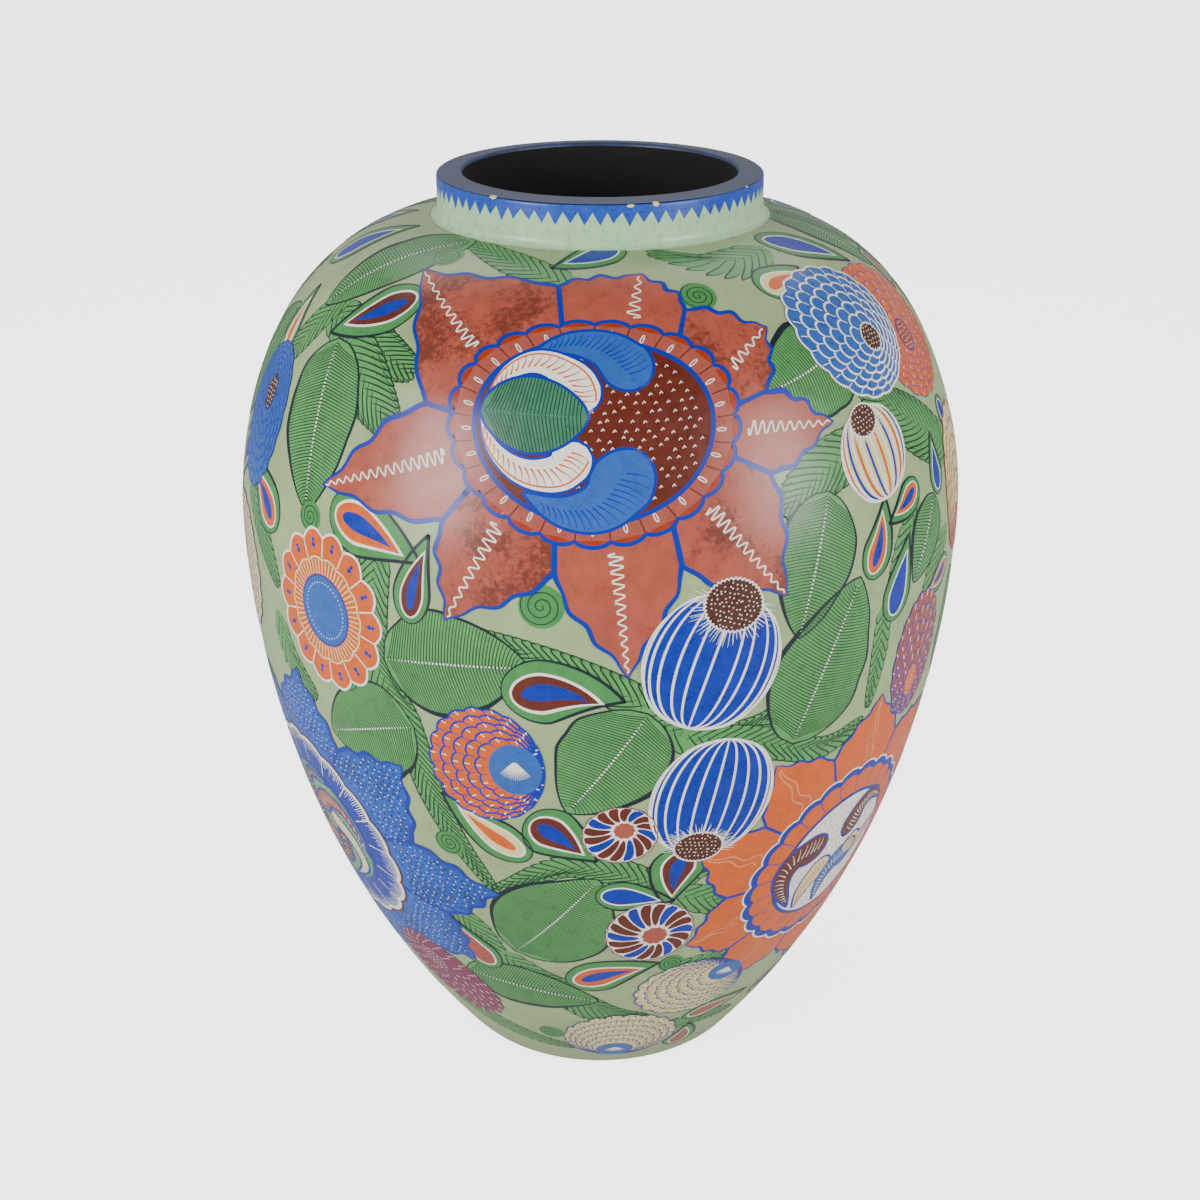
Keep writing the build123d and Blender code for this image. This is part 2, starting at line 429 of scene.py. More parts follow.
def leaf(box, canvas, length, width, bend=0.0, side=1, tone="leaves"):
    """A pointed leaf combed with hair lines, its midrib a row of white dots.

    Its half-width is a sine of its length raised to powers that round the base and point the tip. Each hair
    line leaves the midrib and bends forward to the edge.
    """
    share = np.linspace(0, 1, 33)
    path = spine(length, bend, -bend / 2, 33)
    path = path - path[-1] / 2
    half = width / 2 * np.maximum(np.sin(math.pi * share**0.78), 0) ** 0.72
    seed = int(length * 7 + width * 13)
    left, right = half * (1 + wobble(33, seed, 0.03)), half * (1 + wobble(33, seed + 1, 0.03))
    box.put(tone, canvas, blade(path, left, right, 15), 3)

    thick = np.concatenate([np.sin(math.pi * share) ** 1.5, np.sin(math.pi * share) ** 1.5])
    heavy = np.concatenate([np.full(33, 0.8 if side > 0 else 2.4), np.full(33, 2.4 if side > 0 else 0.8)])
    box.put("ink_outlines", canvas, stroke(edge_path(path, left, right), 0.9 + heavy * thick), 3.7)

    per_side = int(length * 0.9 / 1.75)
    roots = np.linspace(0.03, 0.93, per_side)[:, None]
    out = np.linspace(0.02, 1, 7)
    reach = np.minimum(0.995, roots + 0.10 * out**1.2 * (1 - roots * 0.55))
    for way in (-1, 1):
        lines = on_blade(path, left, right, reach, way * out * np.ones_like(reach))
        box.put("hair_lines", canvas, stroke(lines, 0.66 - 0.2 * out), 3.4)
    box.put("ink_outlines", canvas, stroke(path[1:-1], 1.1 * taper(31, 0.5)), 3.7)
    spots = int(length / 2.3)
    places = on_blade(path, left, right, np.linspace(0.04, 0.95, spots), np.zeros(spots))
    box.put("white_lines", canvas, dots(places, 0.72 * taper(spots, 0.5, 0.35)), 4.0)


def unit_lobe(rows=8, across=4):
    """A tongue of length 1 along y and half-width 1 along x, round at its tip: x is the root of 1 - y^4."""
    y = np.linspace(0, 1, rows)
    x = np.sqrt(1 - y**4)
    share = np.linspace(-1, 1, across)
    return np.stack([x[:, None] * share, y[:, None] * np.ones(across)], -1)


def frond(box, canvas, path, width, coat=1.0, lobe=5.4, lean=0.9):
    """A feathery frond: two rows of round lobes that overlap along a curved rib, each lined in ink.

    A lobe leaves the rib at an angle, curls forward, and is shorter towards the tip.
    """
    share = np.linspace(0, 1, len(path))
    span = np.linalg.norm(np.diff(path, axis=0), axis=1).sum()
    size = (0.72 + 0.28 * np.sin(math.pi * np.minimum(share * 1.4, 0.5))) * (1 - share**2.6) ** 0.6 + 0.06
    core = width * 0.12 * size + 0.3
    box.put("fronds", canvas, blade(path, core, core, 5), coat)
    lobes = max(4, int(span / lobe))
    at = np.linspace(0.0, 0.96, lobes)
    pick = lambda values: np.interp(at, share, values)
    rib = np.stack([pick(path[:, 0]), pick(path[:, 1])], -1)
    side_way = right_of(path)
    heading = pick(np.unwrap(np.arctan2(-side_way[:, 1], side_way[:, 0])))
    reach = width / 2 * pick(size) * 1.12 + 1.0
    half = span / lobes * 0.46
    y = np.linspace(0, 1, 9)
    edge_x = np.sqrt(np.maximum(1 - y**4, 0))
    outline = np.stack([np.concatenate([edge_x, -edge_x[:4:-1]]), np.concatenate([y, y[:4:-1]])], -1)
    for side in (-1, 1):
        angle = heading + side * (lean - 0.3 * at)
        cos, sin = np.cos(angle), np.sin(angle)

        def carried(flat):
            """A unit lobe's points, stretched and turned into each lobe's place, its tip curled forward."""
            shape = (lobes,) + (1,) * (flat.ndim - 1)
            x = flat[..., 0] * half * -side
            y = flat[..., 1] * reach.reshape(shape)
            x = x - side * 0.3 * y * flat[..., 1]
            c, s = cos.reshape(shape), sin.reshape(shape)
            return np.stack(
                [x * c + y * s, y * c - x * s], -1
            ) + rib.reshape(lobes, *([1] * (flat.ndim - 1)), 2)

        box.put("fronds", canvas, carried(unit_lobe()), coat)
        line = carried(outline)
        box.put("frond_lines", canvas, stroke(line, 1.0 * taper(line.shape[1], 0.6, 0.3)), coat + 0.35)


def drop_form(length, width, bend, points=25):
    """Path and half-width of a drop: round where it starts, at its fat end, and drawn out to a point."""
    share = np.linspace(0, 1, points) ** 1.6
    heading = -bend / 2 + bend * share
    steps = np.diff(share)[:, None] * length
    middle = (heading[1:] + heading[:-1])[:, None] / 2
    path = np.concatenate(
        [np.zeros((1, 2)), np.cumsum(np.concatenate([np.sin(middle), np.cos(middle)], 1) * steps, 0)]
    )
    fat = 0.34
    round_end = np.sqrt(np.maximum(1 - ((fat - share) / fat) ** 2, 0))
    drawn_out = 1 - np.clip((share - fat) / (1 - fat), 0, 1) ** 1.35
    return path, width / 2 * np.where(share < fat, round_end, drawn_out)


def drop(
    box, canvas, length, width, bend=0.6,
    fills=("green_drops", "white_fields", "brown_fields", "cobalt_fields")
):
    """A drop inside a drop: a green body lined in ink, then a white line, a filling and a core."""
    path, half = drop_form(length, width, bend)
    centre = path[-1] / 2
    box.put(fills[0], canvas, blade(path - centre, half, half, 9), 4.4)
    points = 2 * len(half)
    thick = 0.7 + 1.5 * np.sin(np.linspace(0, math.pi, points)) ** 2 * np.linspace(0.3, 1.3, points)
    box.put("ink_outlines", canvas, stroke(edge_path(path - centre, half, half), thick), 4.8)
    inner = [(0.17, 0.66, 0.95), (0.205, 0.56, 0.92), (0.31, 0.27, 0.86)]
    for coat, (fill, (start, breadth, end)) in enumerate(zip(fills[1:], inner)):
        if fill is None:
            continue
        small, narrow = drop_form(length * (end - start), width * breadth, bend * 0.95)
        at = on_blade(path, half, half, np.array([start]), np.array([0.0]))[0]
        small = turned(small, -bend / 2 + bend * (start + end) / 2 + 0.0) + at - centre
        box.put(fill, canvas, blade(small, narrow, narrow, 7), 5.0 + 0.3 * coat)


def curl(box, canvas, radius):
    """A green disc with an ink spiral that widens evenly, three turns."""
    box.put("green_drops", canvas, disc(radius, 9), 4)
    angle = np.linspace(0.6, 3 * TAU, 90)
    path = np.stack([np.sin(angle), np.cos(angle)], -1) * (angle / angle[-1] * radius * 0.98)[:, None]
    box.put("frond_lines", canvas, stroke(path, 0.6), 5)


def globe(eye, half_width, half_height):
    """A round flower seen from the side, as a function of rank and angle.

    Rank 0 is its eye and rank 1 its rim. A point lies on the straight line from the eye to the rim.
    """
    eye = np.array(eye)

    def point(rank, angle):
        rim = np.stack([half_width * np.sin(angle), half_height * np.cos(angle)], -1)
        rank = np.asarray(rank)[..., None]
        return eye * (1 - rank) + rim * rank

    return point


def seed_disc(box, canvas, centre, half_width, half_height, fill, rim="white_lines", spacing=2.6, coat=9.0):
    """A seed head: a patch sprinkled with white dots in rows, its edge in small white scallops."""
    grid = disc(1.0, 9) * [half_width, half_height] + centre
    box.put(fill, canvas, grid, coat)
    rng = np.random.default_rng(int(half_width * 10))
    ticks = np.arange(-0.8, 0.81, spacing / half_width)
    x, y = np.meshgrid(ticks, np.arange(-0.8, 0.81, spacing / half_height))
    x = x + (np.arange(len(x)) % 2)[:, None] * spacing / half_width / 2
    x, y = x + rng.normal(0, 0.03, x.shape), y + rng.normal(0, 0.03, y.shape)
    keep = x**2 + y**2 < 0.72
    places = np.stack([x[keep] * half_width, y[keep] * half_height], -1) + centre
    box.put("white_lines", canvas, dots(places, 0.45), coat + 0.5)
    lobes = max(10, int(TAU * half_width / 2.6))
    edge = scalloped(1.0, lobes, 0.08, 6) * [half_width, half_height] + centre
    box.put(rim, canvas, stroke(edge, 0.9), coat + 0.5)


def striped_bud(
    box, canvas, width, height, calyx=(0.62, 12.0, 10.0), fill="cobalt_fields", stripes=11, second=None
):
    """A gourd-like bud: lines of longitude run from its seed head to its far pole, over a round body."""
    half_w, half_h = width / 2, height / 2
    body = disc(1.0, 15) * [half_w, half_h]
    box.put(fill, canvas, body, 7)
    box.put("white_lines", canvas, stroke(circle(1.0, 61) * [half_w, half_h], 0.9), 8)
    top = math.asin(min(0.9, calyx[0] + 0.12))
    tilt = np.linspace(top, -math.pi / 2, 25)
    rng = np.random.default_rng(int(width * 3 + height))
    longitude = (np.linspace(-80, 80, stripes) + rng.normal(0, 2.0, stripes)) * math.pi / 180
    x = half_w * 0.98 * np.sin(longitude)[:, None] * np.cos(tilt) ** 0.8
    y = half_h * 0.98 * np.sin(tilt) * np.ones_like(x)
    width_along = 1.5 * taper(25, 0.6, 0.3)
    box.put("white_lines", canvas, stroke(np.stack([x, y], -1), width_along), 8)
    if second:
        between = (longitude[1:] + longitude[:-1]) / 2
        x = half_w * 0.98 * np.sin(between)[:, None] * np.cos(tilt) ** 0.8
        y = half_h * 0.98 * np.sin(tilt) * np.ones_like(x)
        for offset, piece in enumerate(second):
            chosen = np.stack([x, y], -1)[offset :: len(second)]
            box.put(piece, canvas, stroke(chosen, 1.9 * taper(25, 0.6, 0.2)), 7.6)
    centre = np.array([0, half_h * calyx[0]])
    hairs = 46
    rng = np.random.default_rng(int(width))
    angle = np.linspace(0.42 * math.pi, 1.58 * math.pi, hairs) + rng.normal(0, 0.03, hairs)
    out = 1 + np.linspace(0, 0.55, 5) * rng.uniform(0.5, 1.1, hairs)[:, None]
    x = calyx[1] * np.sin(angle)[:, None] * out
    y = calyx[2] * np.cos(angle)[:, None] * out
    box.put("white_lines", canvas, stroke(np.stack([x, y], -1) + centre, 0.5 * np.linspace(1, 0.3, 5)), 8.4)
    seed_disc(box, canvas, centre, calyx[1], calyx[2], "seed_fields")


def scale_bud(
    box, canvas, width, height, eye=(0.0, 0.5), rows=6, fill="orange_fields", line="cobalt_lines",
    tick="white_lines", heart="sky_fields", heart_size=0.32, fan=True, density=1.0, weight=1.0, coat=7.0
):
    """A dahlia seen from the side: rings of scallops spread from its heart to its rim.

    Density is how close the scallops stand, weight how thick the lines are.
    """
    half = np.array([width / 2, height / 2])
    point = globe(np.array(eye) * half, *half)
    ranks = np.linspace(heart_size, 1.0, rows + 1)
    edge_rank = 1 - 0.035 * (1 - np.abs(np.sin(np.linspace(0, TAU, 145) * 9)))
    outline = point(edge_rank, np.linspace(0, TAU, 145))
    inner = point(np.full(145, 0.02), np.linspace(0, TAU, 145))
    box.put(fill, canvas, ring(inner, outline, 15), coat)
    box.put(line, canvas, stroke(outline, 1.1 * weight), coat + 1.2)
    for row, (low, high) in enumerate(zip(ranks[:-1], ranks[1:])):
        girth = math.pi * (half[0] + half[1]) * (low + high) / 2
        lobes = max(7, int(girth / 6.2 * density))
        shift = (row % 2) * math.pi / lobes
        angle = np.linspace(0, TAU, lobes * 8 + 1) + shift
        swell = np.abs(np.sin((angle - shift) * lobes / 2)) ** 0.6
        if row < rows - 1:
            box.put(
                line, canvas, stroke(point(high - (high - low) * 0.35 * (1 - swell), angle), 1.1 * weight),
                coat + 1.0
            )
        notch = np.arange(lobes) * TAU / lobes + shift
        spread = np.linspace(low + (high - low) * 0.1, high - (high - low) * 0.3, 4)
        box.put(
            line, canvas,
            stroke(point(spread * np.ones((lobes, 4)), notch[:, None] * np.ones(4)), 0.5 * weight),
            coat + 1.0
        )
        if tick:
            middle = notch + math.pi / lobes
            spread = np.linspace(low + (high - low) * 0.45, high - (high - low) * 0.1, 3)
            box.put(
                tick, canvas,
                stroke(point(spread * np.ones((lobes, 3)), middle[:, None] * np.ones(3)), 0.75), coat + 1.2
            )
    centre = np.array(eye) * half * (1 - heart_size * 0.9)
    heart_half = half * heart_size * 1.02
    if fan:
        box.put(heart, canvas, disc(1.0, 9) * heart_half + centre, coat + 1.6)
        rays = np.linspace(-0.75, 0.75, 17) + math.pi
        reach = np.array([0.05, 0.4, 0.75])
        x = heart_half[0] * np.sin(rays)[:, None] * reach * 1.1
        y = heart_half[1] * (0.35 + np.cos(rays)[:, None] * reach)
        box.put("white_lines", canvas, stroke(np.stack([x, y], -1) + centre, [0.3, 0.6, 0.2]), coat + 2.1)
    else:
        seed_disc(box, canvas, centre, *heart_half, heart, rim=line, coat=coat + 1.6)


def candy_bud(
    box, canvas, width, height, eye=(0.1, 0.1), wedges=16, fills=("brown_fields", "cobalt_fields"),
    heart="blush_fields"
):
    """A round sweet of two colours: tapered segments from a small heart to the rim, white between them."""
    half = np.array([width / 2, height / 2])
    point = globe(np.array(eye) * half, *half)
    box.put("white_fields", canvas, disc(1.0, 11) * half, 7)
    edge = point(
        1 - 0.03 * (1 - np.abs(np.sin(np.linspace(0, TAU, 145) * wedges / 2))), np.linspace(0, TAU, 145)
    )
    box.put("purple_lines", canvas, stroke(edge, 0.7), 8)
    rank = np.linspace(0.33, 0.96, 9)
    across = np.linspace(-1, 1, 4)
    full = (1 - np.abs((rank - 0.66) / 0.33) ** 4).clip(0, 1) ** 0.5
    for number in range(wedges):
        middle = number * TAU / wedges
        angle = middle + 0.5 * (rank[:, None] - 0.33) ** 2 + (0.43 * TAU / wedges * full)[:, None] * across
        piece = fills[1] if number % 3 == 1 else fills[0]
        box.put(piece, canvas, point(rank[:, None] * np.ones(4), angle), 7.8)
    centre = np.array(eye) * half * 0.7
    box.put(heart, canvas, disc(1.0, 7) * half * 0.3 + centre, 8.4)
    box.put("white_lines", canvas, stroke(scalloped(1.0, 10, 0.1, 6) * half * 0.31 + centre, 0.9), 9)


def daisy(box, canvas, width, height):
    """An open daisy: fourteen scallops edged in white, fine rays inside and a blue disc in a dotted ring."""
    half = np.array([width / 2, height / 2])
    edge = scalloped(1.0, 14, 0.10, 10) * half
    inner = circle(0.0 * np.ones(141), 141) + 0.001
    box.put("orange_fields", canvas, ring(inner * half, edge, 9), 7)
    box.put("white_lines", canvas, stroke(edge, 1.5), 8)
    notch = np.arange(14) * TAU / 14
    spread = np.linspace(0.66, 0.92, 4)
    rays = np.stack([np.sin(notch)[:, None] * spread, np.cos(notch)[:, None] * spread], -1) * half
    box.put("white_lines", canvas, stroke(rays, 0.8), 8)
    middle = notch + math.pi / 14
    places = np.stack([np.sin(middle), np.cos(middle)], -1) * half
    box.put("cobalt_fields", canvas, dots(places * 0.80, 1.5), 8)
    box.put("cobalt_fields", canvas, dots(places * 0.86, 1.2), 8)
    box.put("cream_lines", canvas, stroke(scalloped(0.66, 14, 0.03, 8) * half, 1.1), 8)
    fine = np.arange(56) * TAU / 56
    spread = np.linspace(0.46, 0.63, 3)
    rays = np.stack([np.sin(fine)[:, None] * spread, np.cos(fine)[:, None] * spread], -1) * half
    box.put("cream_lines", canvas, stroke(rays, 0.8), 8)
    box.put("sky_fields", canvas, disc(1.0, 9) * half * 0.44, 8.4)
    box.put("cobalt_lines", canvas, stroke(circle(0.44, 61) * half, 0.9), 8.8)
    box.put("white_lines", canvas, dots(circle(0.35, 41)[:-1] * half, 0.42), 9)


# ---------------------------------------------------------------------------------------------------
# Large flowers
# ---------------------------------------------------------------------------------------------------


def polar(turn, radius):
    """A paper point at a turn in degrees clockwise from up."""
    angle = math.radians(turn)
    return np.array([math.sin(angle), math.cos(angle)]) * radius


def petal_edge(root, notch, tip, bulge, waves, way):
    """One edge of a petal: straight from the ring to the notch, then a swelling wavy curve to the tip.

    The swelling is a sine that is fullest near the notch and hollow near the tip. The waves are a second
    sine that fades at both ends.
    """
    share = np.linspace(0, 1, 30)[:, None]
    line = notch + (tip - notch) * share
    across = np.array([tip[1] - notch[1], notch[0] - tip[0]]) * way
    across = across / np.linalg.norm(across)
    swell = bulge * np.sin(math.pi * share) * (1.3 - 1.5 * share)
    ripple = waves * np.sin(3 * TAU * share + way) * np.sin(math.pi * share)
    first = root + (notch - root) * np.linspace(0, 1, 6)[:-1, None]
    return np.concatenate([first, line + across * (swell + ripple)])


def zigzag(axis, wide, narrow, turns):
    """A line that swings from side to side of a straight axis, less and less towards its end."""
    share = np.linspace(0, 1, turns * 10 + 1)
    start, end = axis
    along = end - start
    side = np.array([along[1], -along[0]]) / np.linalg.norm(along)
    stretch = share**1.15
    swing = (wide + (narrow - wide) * share) * np.sin(TAU * turns * share)
    return start + along * stretch[:, None] + side * swing[:, None]


def petals(box, canvas, ring_size, tips, notches, fills, line, line_width, bulge=9, waves=1.6):
    """The petals round a ring. Each runs from the ring between two notches to its tip."""
    ring_size = np.array(ring_size)
    for number, (turn, reach) in enumerate(tips):
        tip = polar(turn, reach)
        edges = []
        for way, (notch_turn, notch_reach) in ((1, notches[number - 1]), (-1, notches[number])):
            angle = math.radians(notch_turn)
            root = ring_size * [math.sin(angle), math.cos(angle)] * 0.97
            edges.append(petal_edge(root, polar(notch_turn, notch_reach), tip, -bulge, waves, way))
        box.put(
            fills[number % len(fills)], canvas, ring(edges[0], edges[1], 19).swapaxes(0, 1),
            6 + 0.15 * (number % 2)
        )
        for edge in edges:
            points = len(edge)
            width = line_width * (
                1 - 0.75 * np.linspace(0, 1, points) ** 3
            ) * (1 + wobble(points, number, 0.12))
            box.put(line, canvas, stroke(edge, width), 7)


def comma(box, canvas, places, width, fill, line, line_width=1.4, coat=9.0):
    """A paisley: from a pointed tail through a few places to a round head.

    Returns the function that finds a point on it from its share along and across.
    """
    path = through(places, 41)
    share = np.linspace(0, 1, 41)
    head = width / 2 / np.linalg.norm(np.diff(path, axis=0), axis=1).sum() * 1.1
    path = np.concatenate(
        [path, path[-1:] + (path[-1:] - path[-2:-1]) * np.linspace(0.2, 3.2, 9)[:, None] * head * 12]
    )
    share = np.linspace(0, 1, len(path))
    swell = np.minimum(share * 1.25, 1) ** 0.8
    cap = np.sqrt(np.maximum(1 - np.clip((share - 0.8) / 0.2, 0, 1) ** 2, 0))
    half = width / 2 * swell * cap
    box.put(fill, canvas, blade(path, half, half, 9), coat)
    if line:
        box.put(line, canvas, stroke(edge_path(path, half, half), line_width), coat + 0.4)
    return lambda along, across: on_blade(path, half, half, along, np.asarray(across) + 0.0 * along)


def hatch(
    box, canvas, point, piece, count, start=0.08, end=0.9, from_side=0.85, to_side=-0.35, sweep=0.1,
    width=0.9, coat=10
):
    """Curved strokes across a paisley, from near one edge inwards, each sweeping back along it."""
    along = np.linspace(start, end, count)[:, None]
    out = np.linspace(0, 1, 6)
    across = (from_side + (to_side - from_side) * out**0.8) * np.ones_like(along)
    reach = np.clip(along + sweep * out**1.6, 0, 0.99)
    lines = point(reach, across)
    box.put(piece, canvas, stroke(lines, width * np.linspace(0.35, 1, 6)), coat)


def scallop_ring(box, canvas, outer, inner, lobes, fill, edge_fill, line, divider, band=4.0, line_width=2.2):
    """A ring of scallops: a fill, a band along the scalloped edge, an outline and thin dividers."""
    outer, inner = np.array(outer), np.array(inner)
    points = lobes * 8 + 1
    edge = scalloped(1.0, lobes, 0.045, 8, 0.7) * outer
    low = circle(1.0, points) * inner * 0.97
    box.put(fill, canvas, ring(low, edge, 6), 7.6)
    shrink = 1 - band / outer.mean()
    if edge_fill:
        band_edge = scalloped(shrink, lobes, -0.02, 8, 0.7) * outer
        box.put(edge_fill, canvas, ring(band_edge, edge, 3), 8)
    box.put(line, canvas, stroke(edge, line_width), 8.4)
    notch = np.arange(lobes) * TAU / lobes
    spread = np.linspace(0, 1, 5)[:, None]
    lines = [
        (
            inner * [math.sin(a), math.cos(a)]
        ) * (1 - spread) + (outer * [math.sin(a), math.cos(a)]) * 0.955 * spread
        for a in notch
    ]
    box.put(divider, canvas, stroke(np.array(lines), 0.7), 8.4)
    return edge


def field(box, canvas, size, fill, line, line_width, coat=8.6, at=(0, 0)):
    """The oval inside a ring."""
    size = np.array(size)
    box.put(fill, canvas, disc(1.0, 31) * size + np.array(at), coat)
    box.put(line, canvas, stroke(circle(1.0, 97) * size + np.array(at), line_width), coat + 0.5)


def sprinkle(box, canvas, low, high, inside, piece, spacing, radius, coat, seed=1, tick=None):
    """Dabs in staggered rows over the part of a box where a test holds."""
    rng = np.random.default_rng(seed)
    x, y = np.meshgrid(np.arange(low[0], high[0], spacing), np.arange(low[1], high[1], spacing * 0.8))
    x = x + (np.arange(len(x)) % 2)[:, None] * spacing / 2
    places = np.stack([x, y], -1).reshape(-1, 2)
    places = places + rng.normal(0, spacing * 0.12, places.shape)
    places = places[inside(places[:, 0], places[:, 1])]
    if tick:
        rows = np.array([[-0.5, -0.5], [0, 0.3], [0.5, -0.3]]) * tick
        box.put(piece, canvas, stroke(places[:, None, :] + rows, 0.6), coat)
    else:
        box.put(piece, canvas, dots(places, radius), coat)


def pink_flower(box, canvas):
    """The great terracotta flower: eight petals with white zigzags round a ring of scallops."""
    tips = [(-107, 168), (-51, 133), (14, 98), (63, 106), (94, 136), (132, 142), (172, 133), (-143, 132)]
    notches = [(-86, 90), (-13, 86), (36, 80), (82, 92), (107, 98), (147, 84), (-165, 76), (-123, 94)]
    ring_size = (77, 60)
    order = [notches[i] for i in (0, 1, 2, 3, 4, 5, 6, 7)]
    petals(
        box, canvas, ring_size, tips, order,
        ("pink_petals", "sponged_petals"), "cobalt_lines", 2.7, bulge=5.5, waves=1.6,
    )
    for turn, reach in tips:
        angle = math.radians(turn)
        start = np.array(ring_size) * [math.sin(angle), math.cos(angle)] * 1.06
        end = polar(turn, reach - 3)
        gap = np.linalg.norm(end - start)
        box.put(
            "white_lines", canvas, stroke(zigzag((start, end), 4.2, 0.8, max(5, int(gap / 5.5))), 0.95), 7.4
        )
    scallop_ring(
        box, canvas, ring_size, (
            64, 49
        ), 25, "blush_fields", "rust_fields", "cobalt_lines", "brown_lines", 4.2, 2.3
    )
    for number in range(25):
        angle = (number + 0.5) * TAU / 25
        loop = turned(circle(1.0, 13) * [0.8, 2.6], angle) + np.array(
            [66.5 * math.sin(angle), 51.5 * math.cos(angle)]
        )
        box.put("white_lines", canvas, stroke(loop, 0.6), 8.6)
    field(box, canvas, (62, 48), "brown_fields", "cobalt_lines", 2.4)
    inside = lambda x, y: (x / 58) ** 2 + (y / 44) ** 2 < 1
    sprinkle(box, canvas, (-10, -44), (60, 45), inside, "white_lines", 6.0, 0.4, 9.2, tick=1.7)
    blue_up = comma(
        box, canvas, [(-33, 38), (-14, 47), (6, 44), (17, 33)], 27, "sky_fields", "cobalt_lines", 1.6, 9.6
    )
    blue_down = comma(
        box, canvas, [(-36, -33), (-17, -43), (4, -41), (15, -27)], 34, "sky_fields", "cobalt_lines", 1.6,
        9.6
    )
    hatch(box, canvas, blue_up, "cobalt_lines", 18, 0.2, 0.92, -0.75, 0.2, -0.05, 0.8, 10.3)
    hatch(box, canvas, blue_down, "cobalt_lines", 18, 0.2, 0.92, 0.8, -0.1, -0.05, 0.8, 10.3)
    white_up = comma(
        box, canvas, [(-56, 9), (-47, 27), (-28, 37), (-9, 27), (-6, 19)], 21, "white_fields",
        "cobalt_lines", 1.4, 10.8
    )
    white_down = comma(
        box, canvas, [(-59, 6), (-53, -12), (-37, -24), (-18, -24), (-11, -17)], 22, "white_fields",
        "cobalt_lines", 1.4, 10.8
    )
    for point, way in ((white_up, -1), (white_down, 1)):
        hatch(box, canvas, point, "orange_lines", 19, 0.14, 0.93, way * 0.62, way * -0.35, -0.05, 1.0, 11.4)
        rim = point(np.linspace(0.1, 0.93, 40), np.full(40, way * 0.66))
        box.put("orange_lines", canvas, stroke(rim, 0.9), 11.4)
    share = np.linspace(0, 1, 25)
    path = np.stack([-59 + 57 * share, 7 - 1.0 * share], -1)
    half = 20 * np.sin(math.pi * share**0.95) ** 0.62
    box.put("leaf_hearts", canvas, blade(path, half, half, 13), 11.8)
    box.put("cobalt_lines", canvas, stroke(edge_path(path, half, half), 1.5), 12.4)
    out = np.linspace(0.02, 0.98, 6)
    roots = np.linspace(0.05, 0.92, 26)[:, None]
    for way in (-1, 1):
        reach = np.minimum(0.99, roots + 0.14 * out * (1 - roots))
        box.put(
            "hair_lines", canvas,
            stroke(on_blade(path, half, half, reach, way * out * np.ones_like(reach)), 0.5), 12.2
        )


def orange_flower(box, canvas):
    """The orange flower: nine petals with pale double lines round a ring edged in white."""
    tips = [
        (3, 114), (43, 112), (83, 112), (125, 110), (167, 112), (-153, 108), (-115, 102), (-72, 112),
        (-38, 117)
    ]
    notches = [
        (-19, 86), (23, 84), (63, 84), (104, 84), (146, 84), (-173, 84), (-134, 82), (-93, 80), (-55, 84)
    ]
    ring_size = (66, 66)
    order = notches[1:] + notches[:1]
    petals(box, canvas, ring_size, tips, order, ("orange_petals",), "cobalt_lines", 1.9, bulge=4.5, waves=1.3)
    for turn, reach in tips:
        for side in (-1, 1):
            start, end = polar(turn + side * 2.2, 70), polar(turn, reach - 5)
            box.put(
                "pale_orange_lines", canvas, stroke(zigzag((start, end), 2.2, 0.6, 2) + side * 0.5, 0.6),
                7.4
            )
    edge = scallop_ring(
        box, canvas, ring_size, (49, 49), 24, "orange_fields", None, "cobalt_lines", "cobalt_lines", 4, 2.4
    )
    box.put("white_lines", canvas, stroke(edge * 1.03, 1.3), 8.9)
    box.put("cobalt_lines", canvas, stroke(edge * 0.965, 2.0), 8.8)
    field(box, canvas, (46, 46), "white_fields", "cobalt_lines", 2.2)
    inside = lambda x, y: x**2 + y**2 < 42**2
    sprinkle(box, canvas, (-44, -44), (44, 44), inside, "orange_lines", 4.2, 0.4, 9.3, tick=1.2)
    arms = [
        ([(-26, -34), (-44, -6), (-38, 12), (-24, 14)], 23, "brown_fields", "white_lines", 1),
        ([(-20, -38), (-19, -20), (-10, -9)], 20, "cream_fields", "orange_lines", 1),
        ([(0, -42), (-2, -22), (6, -10), (16, -8)], 22, "sky_fields", "white_lines", 1),
        ([(42, 8), (30, -6), (20, -2)], 18, "cream_fields", "orange_lines", 1),
        ([(42, 24), (26, 36), (14, 30), (10, 20)], 20, "brown_fields", "white_lines", 1),
    ]
    for places, wide, fill, line, way in arms:
        point = comma(box, canvas, places, wide, fill, "cobalt_lines", 1.7, 10)
        hatch(box, canvas, point, line, 18, 0.14, 0.93, -0.7 * way, 0.25 * way, -0.04, 0.8, 10.8)


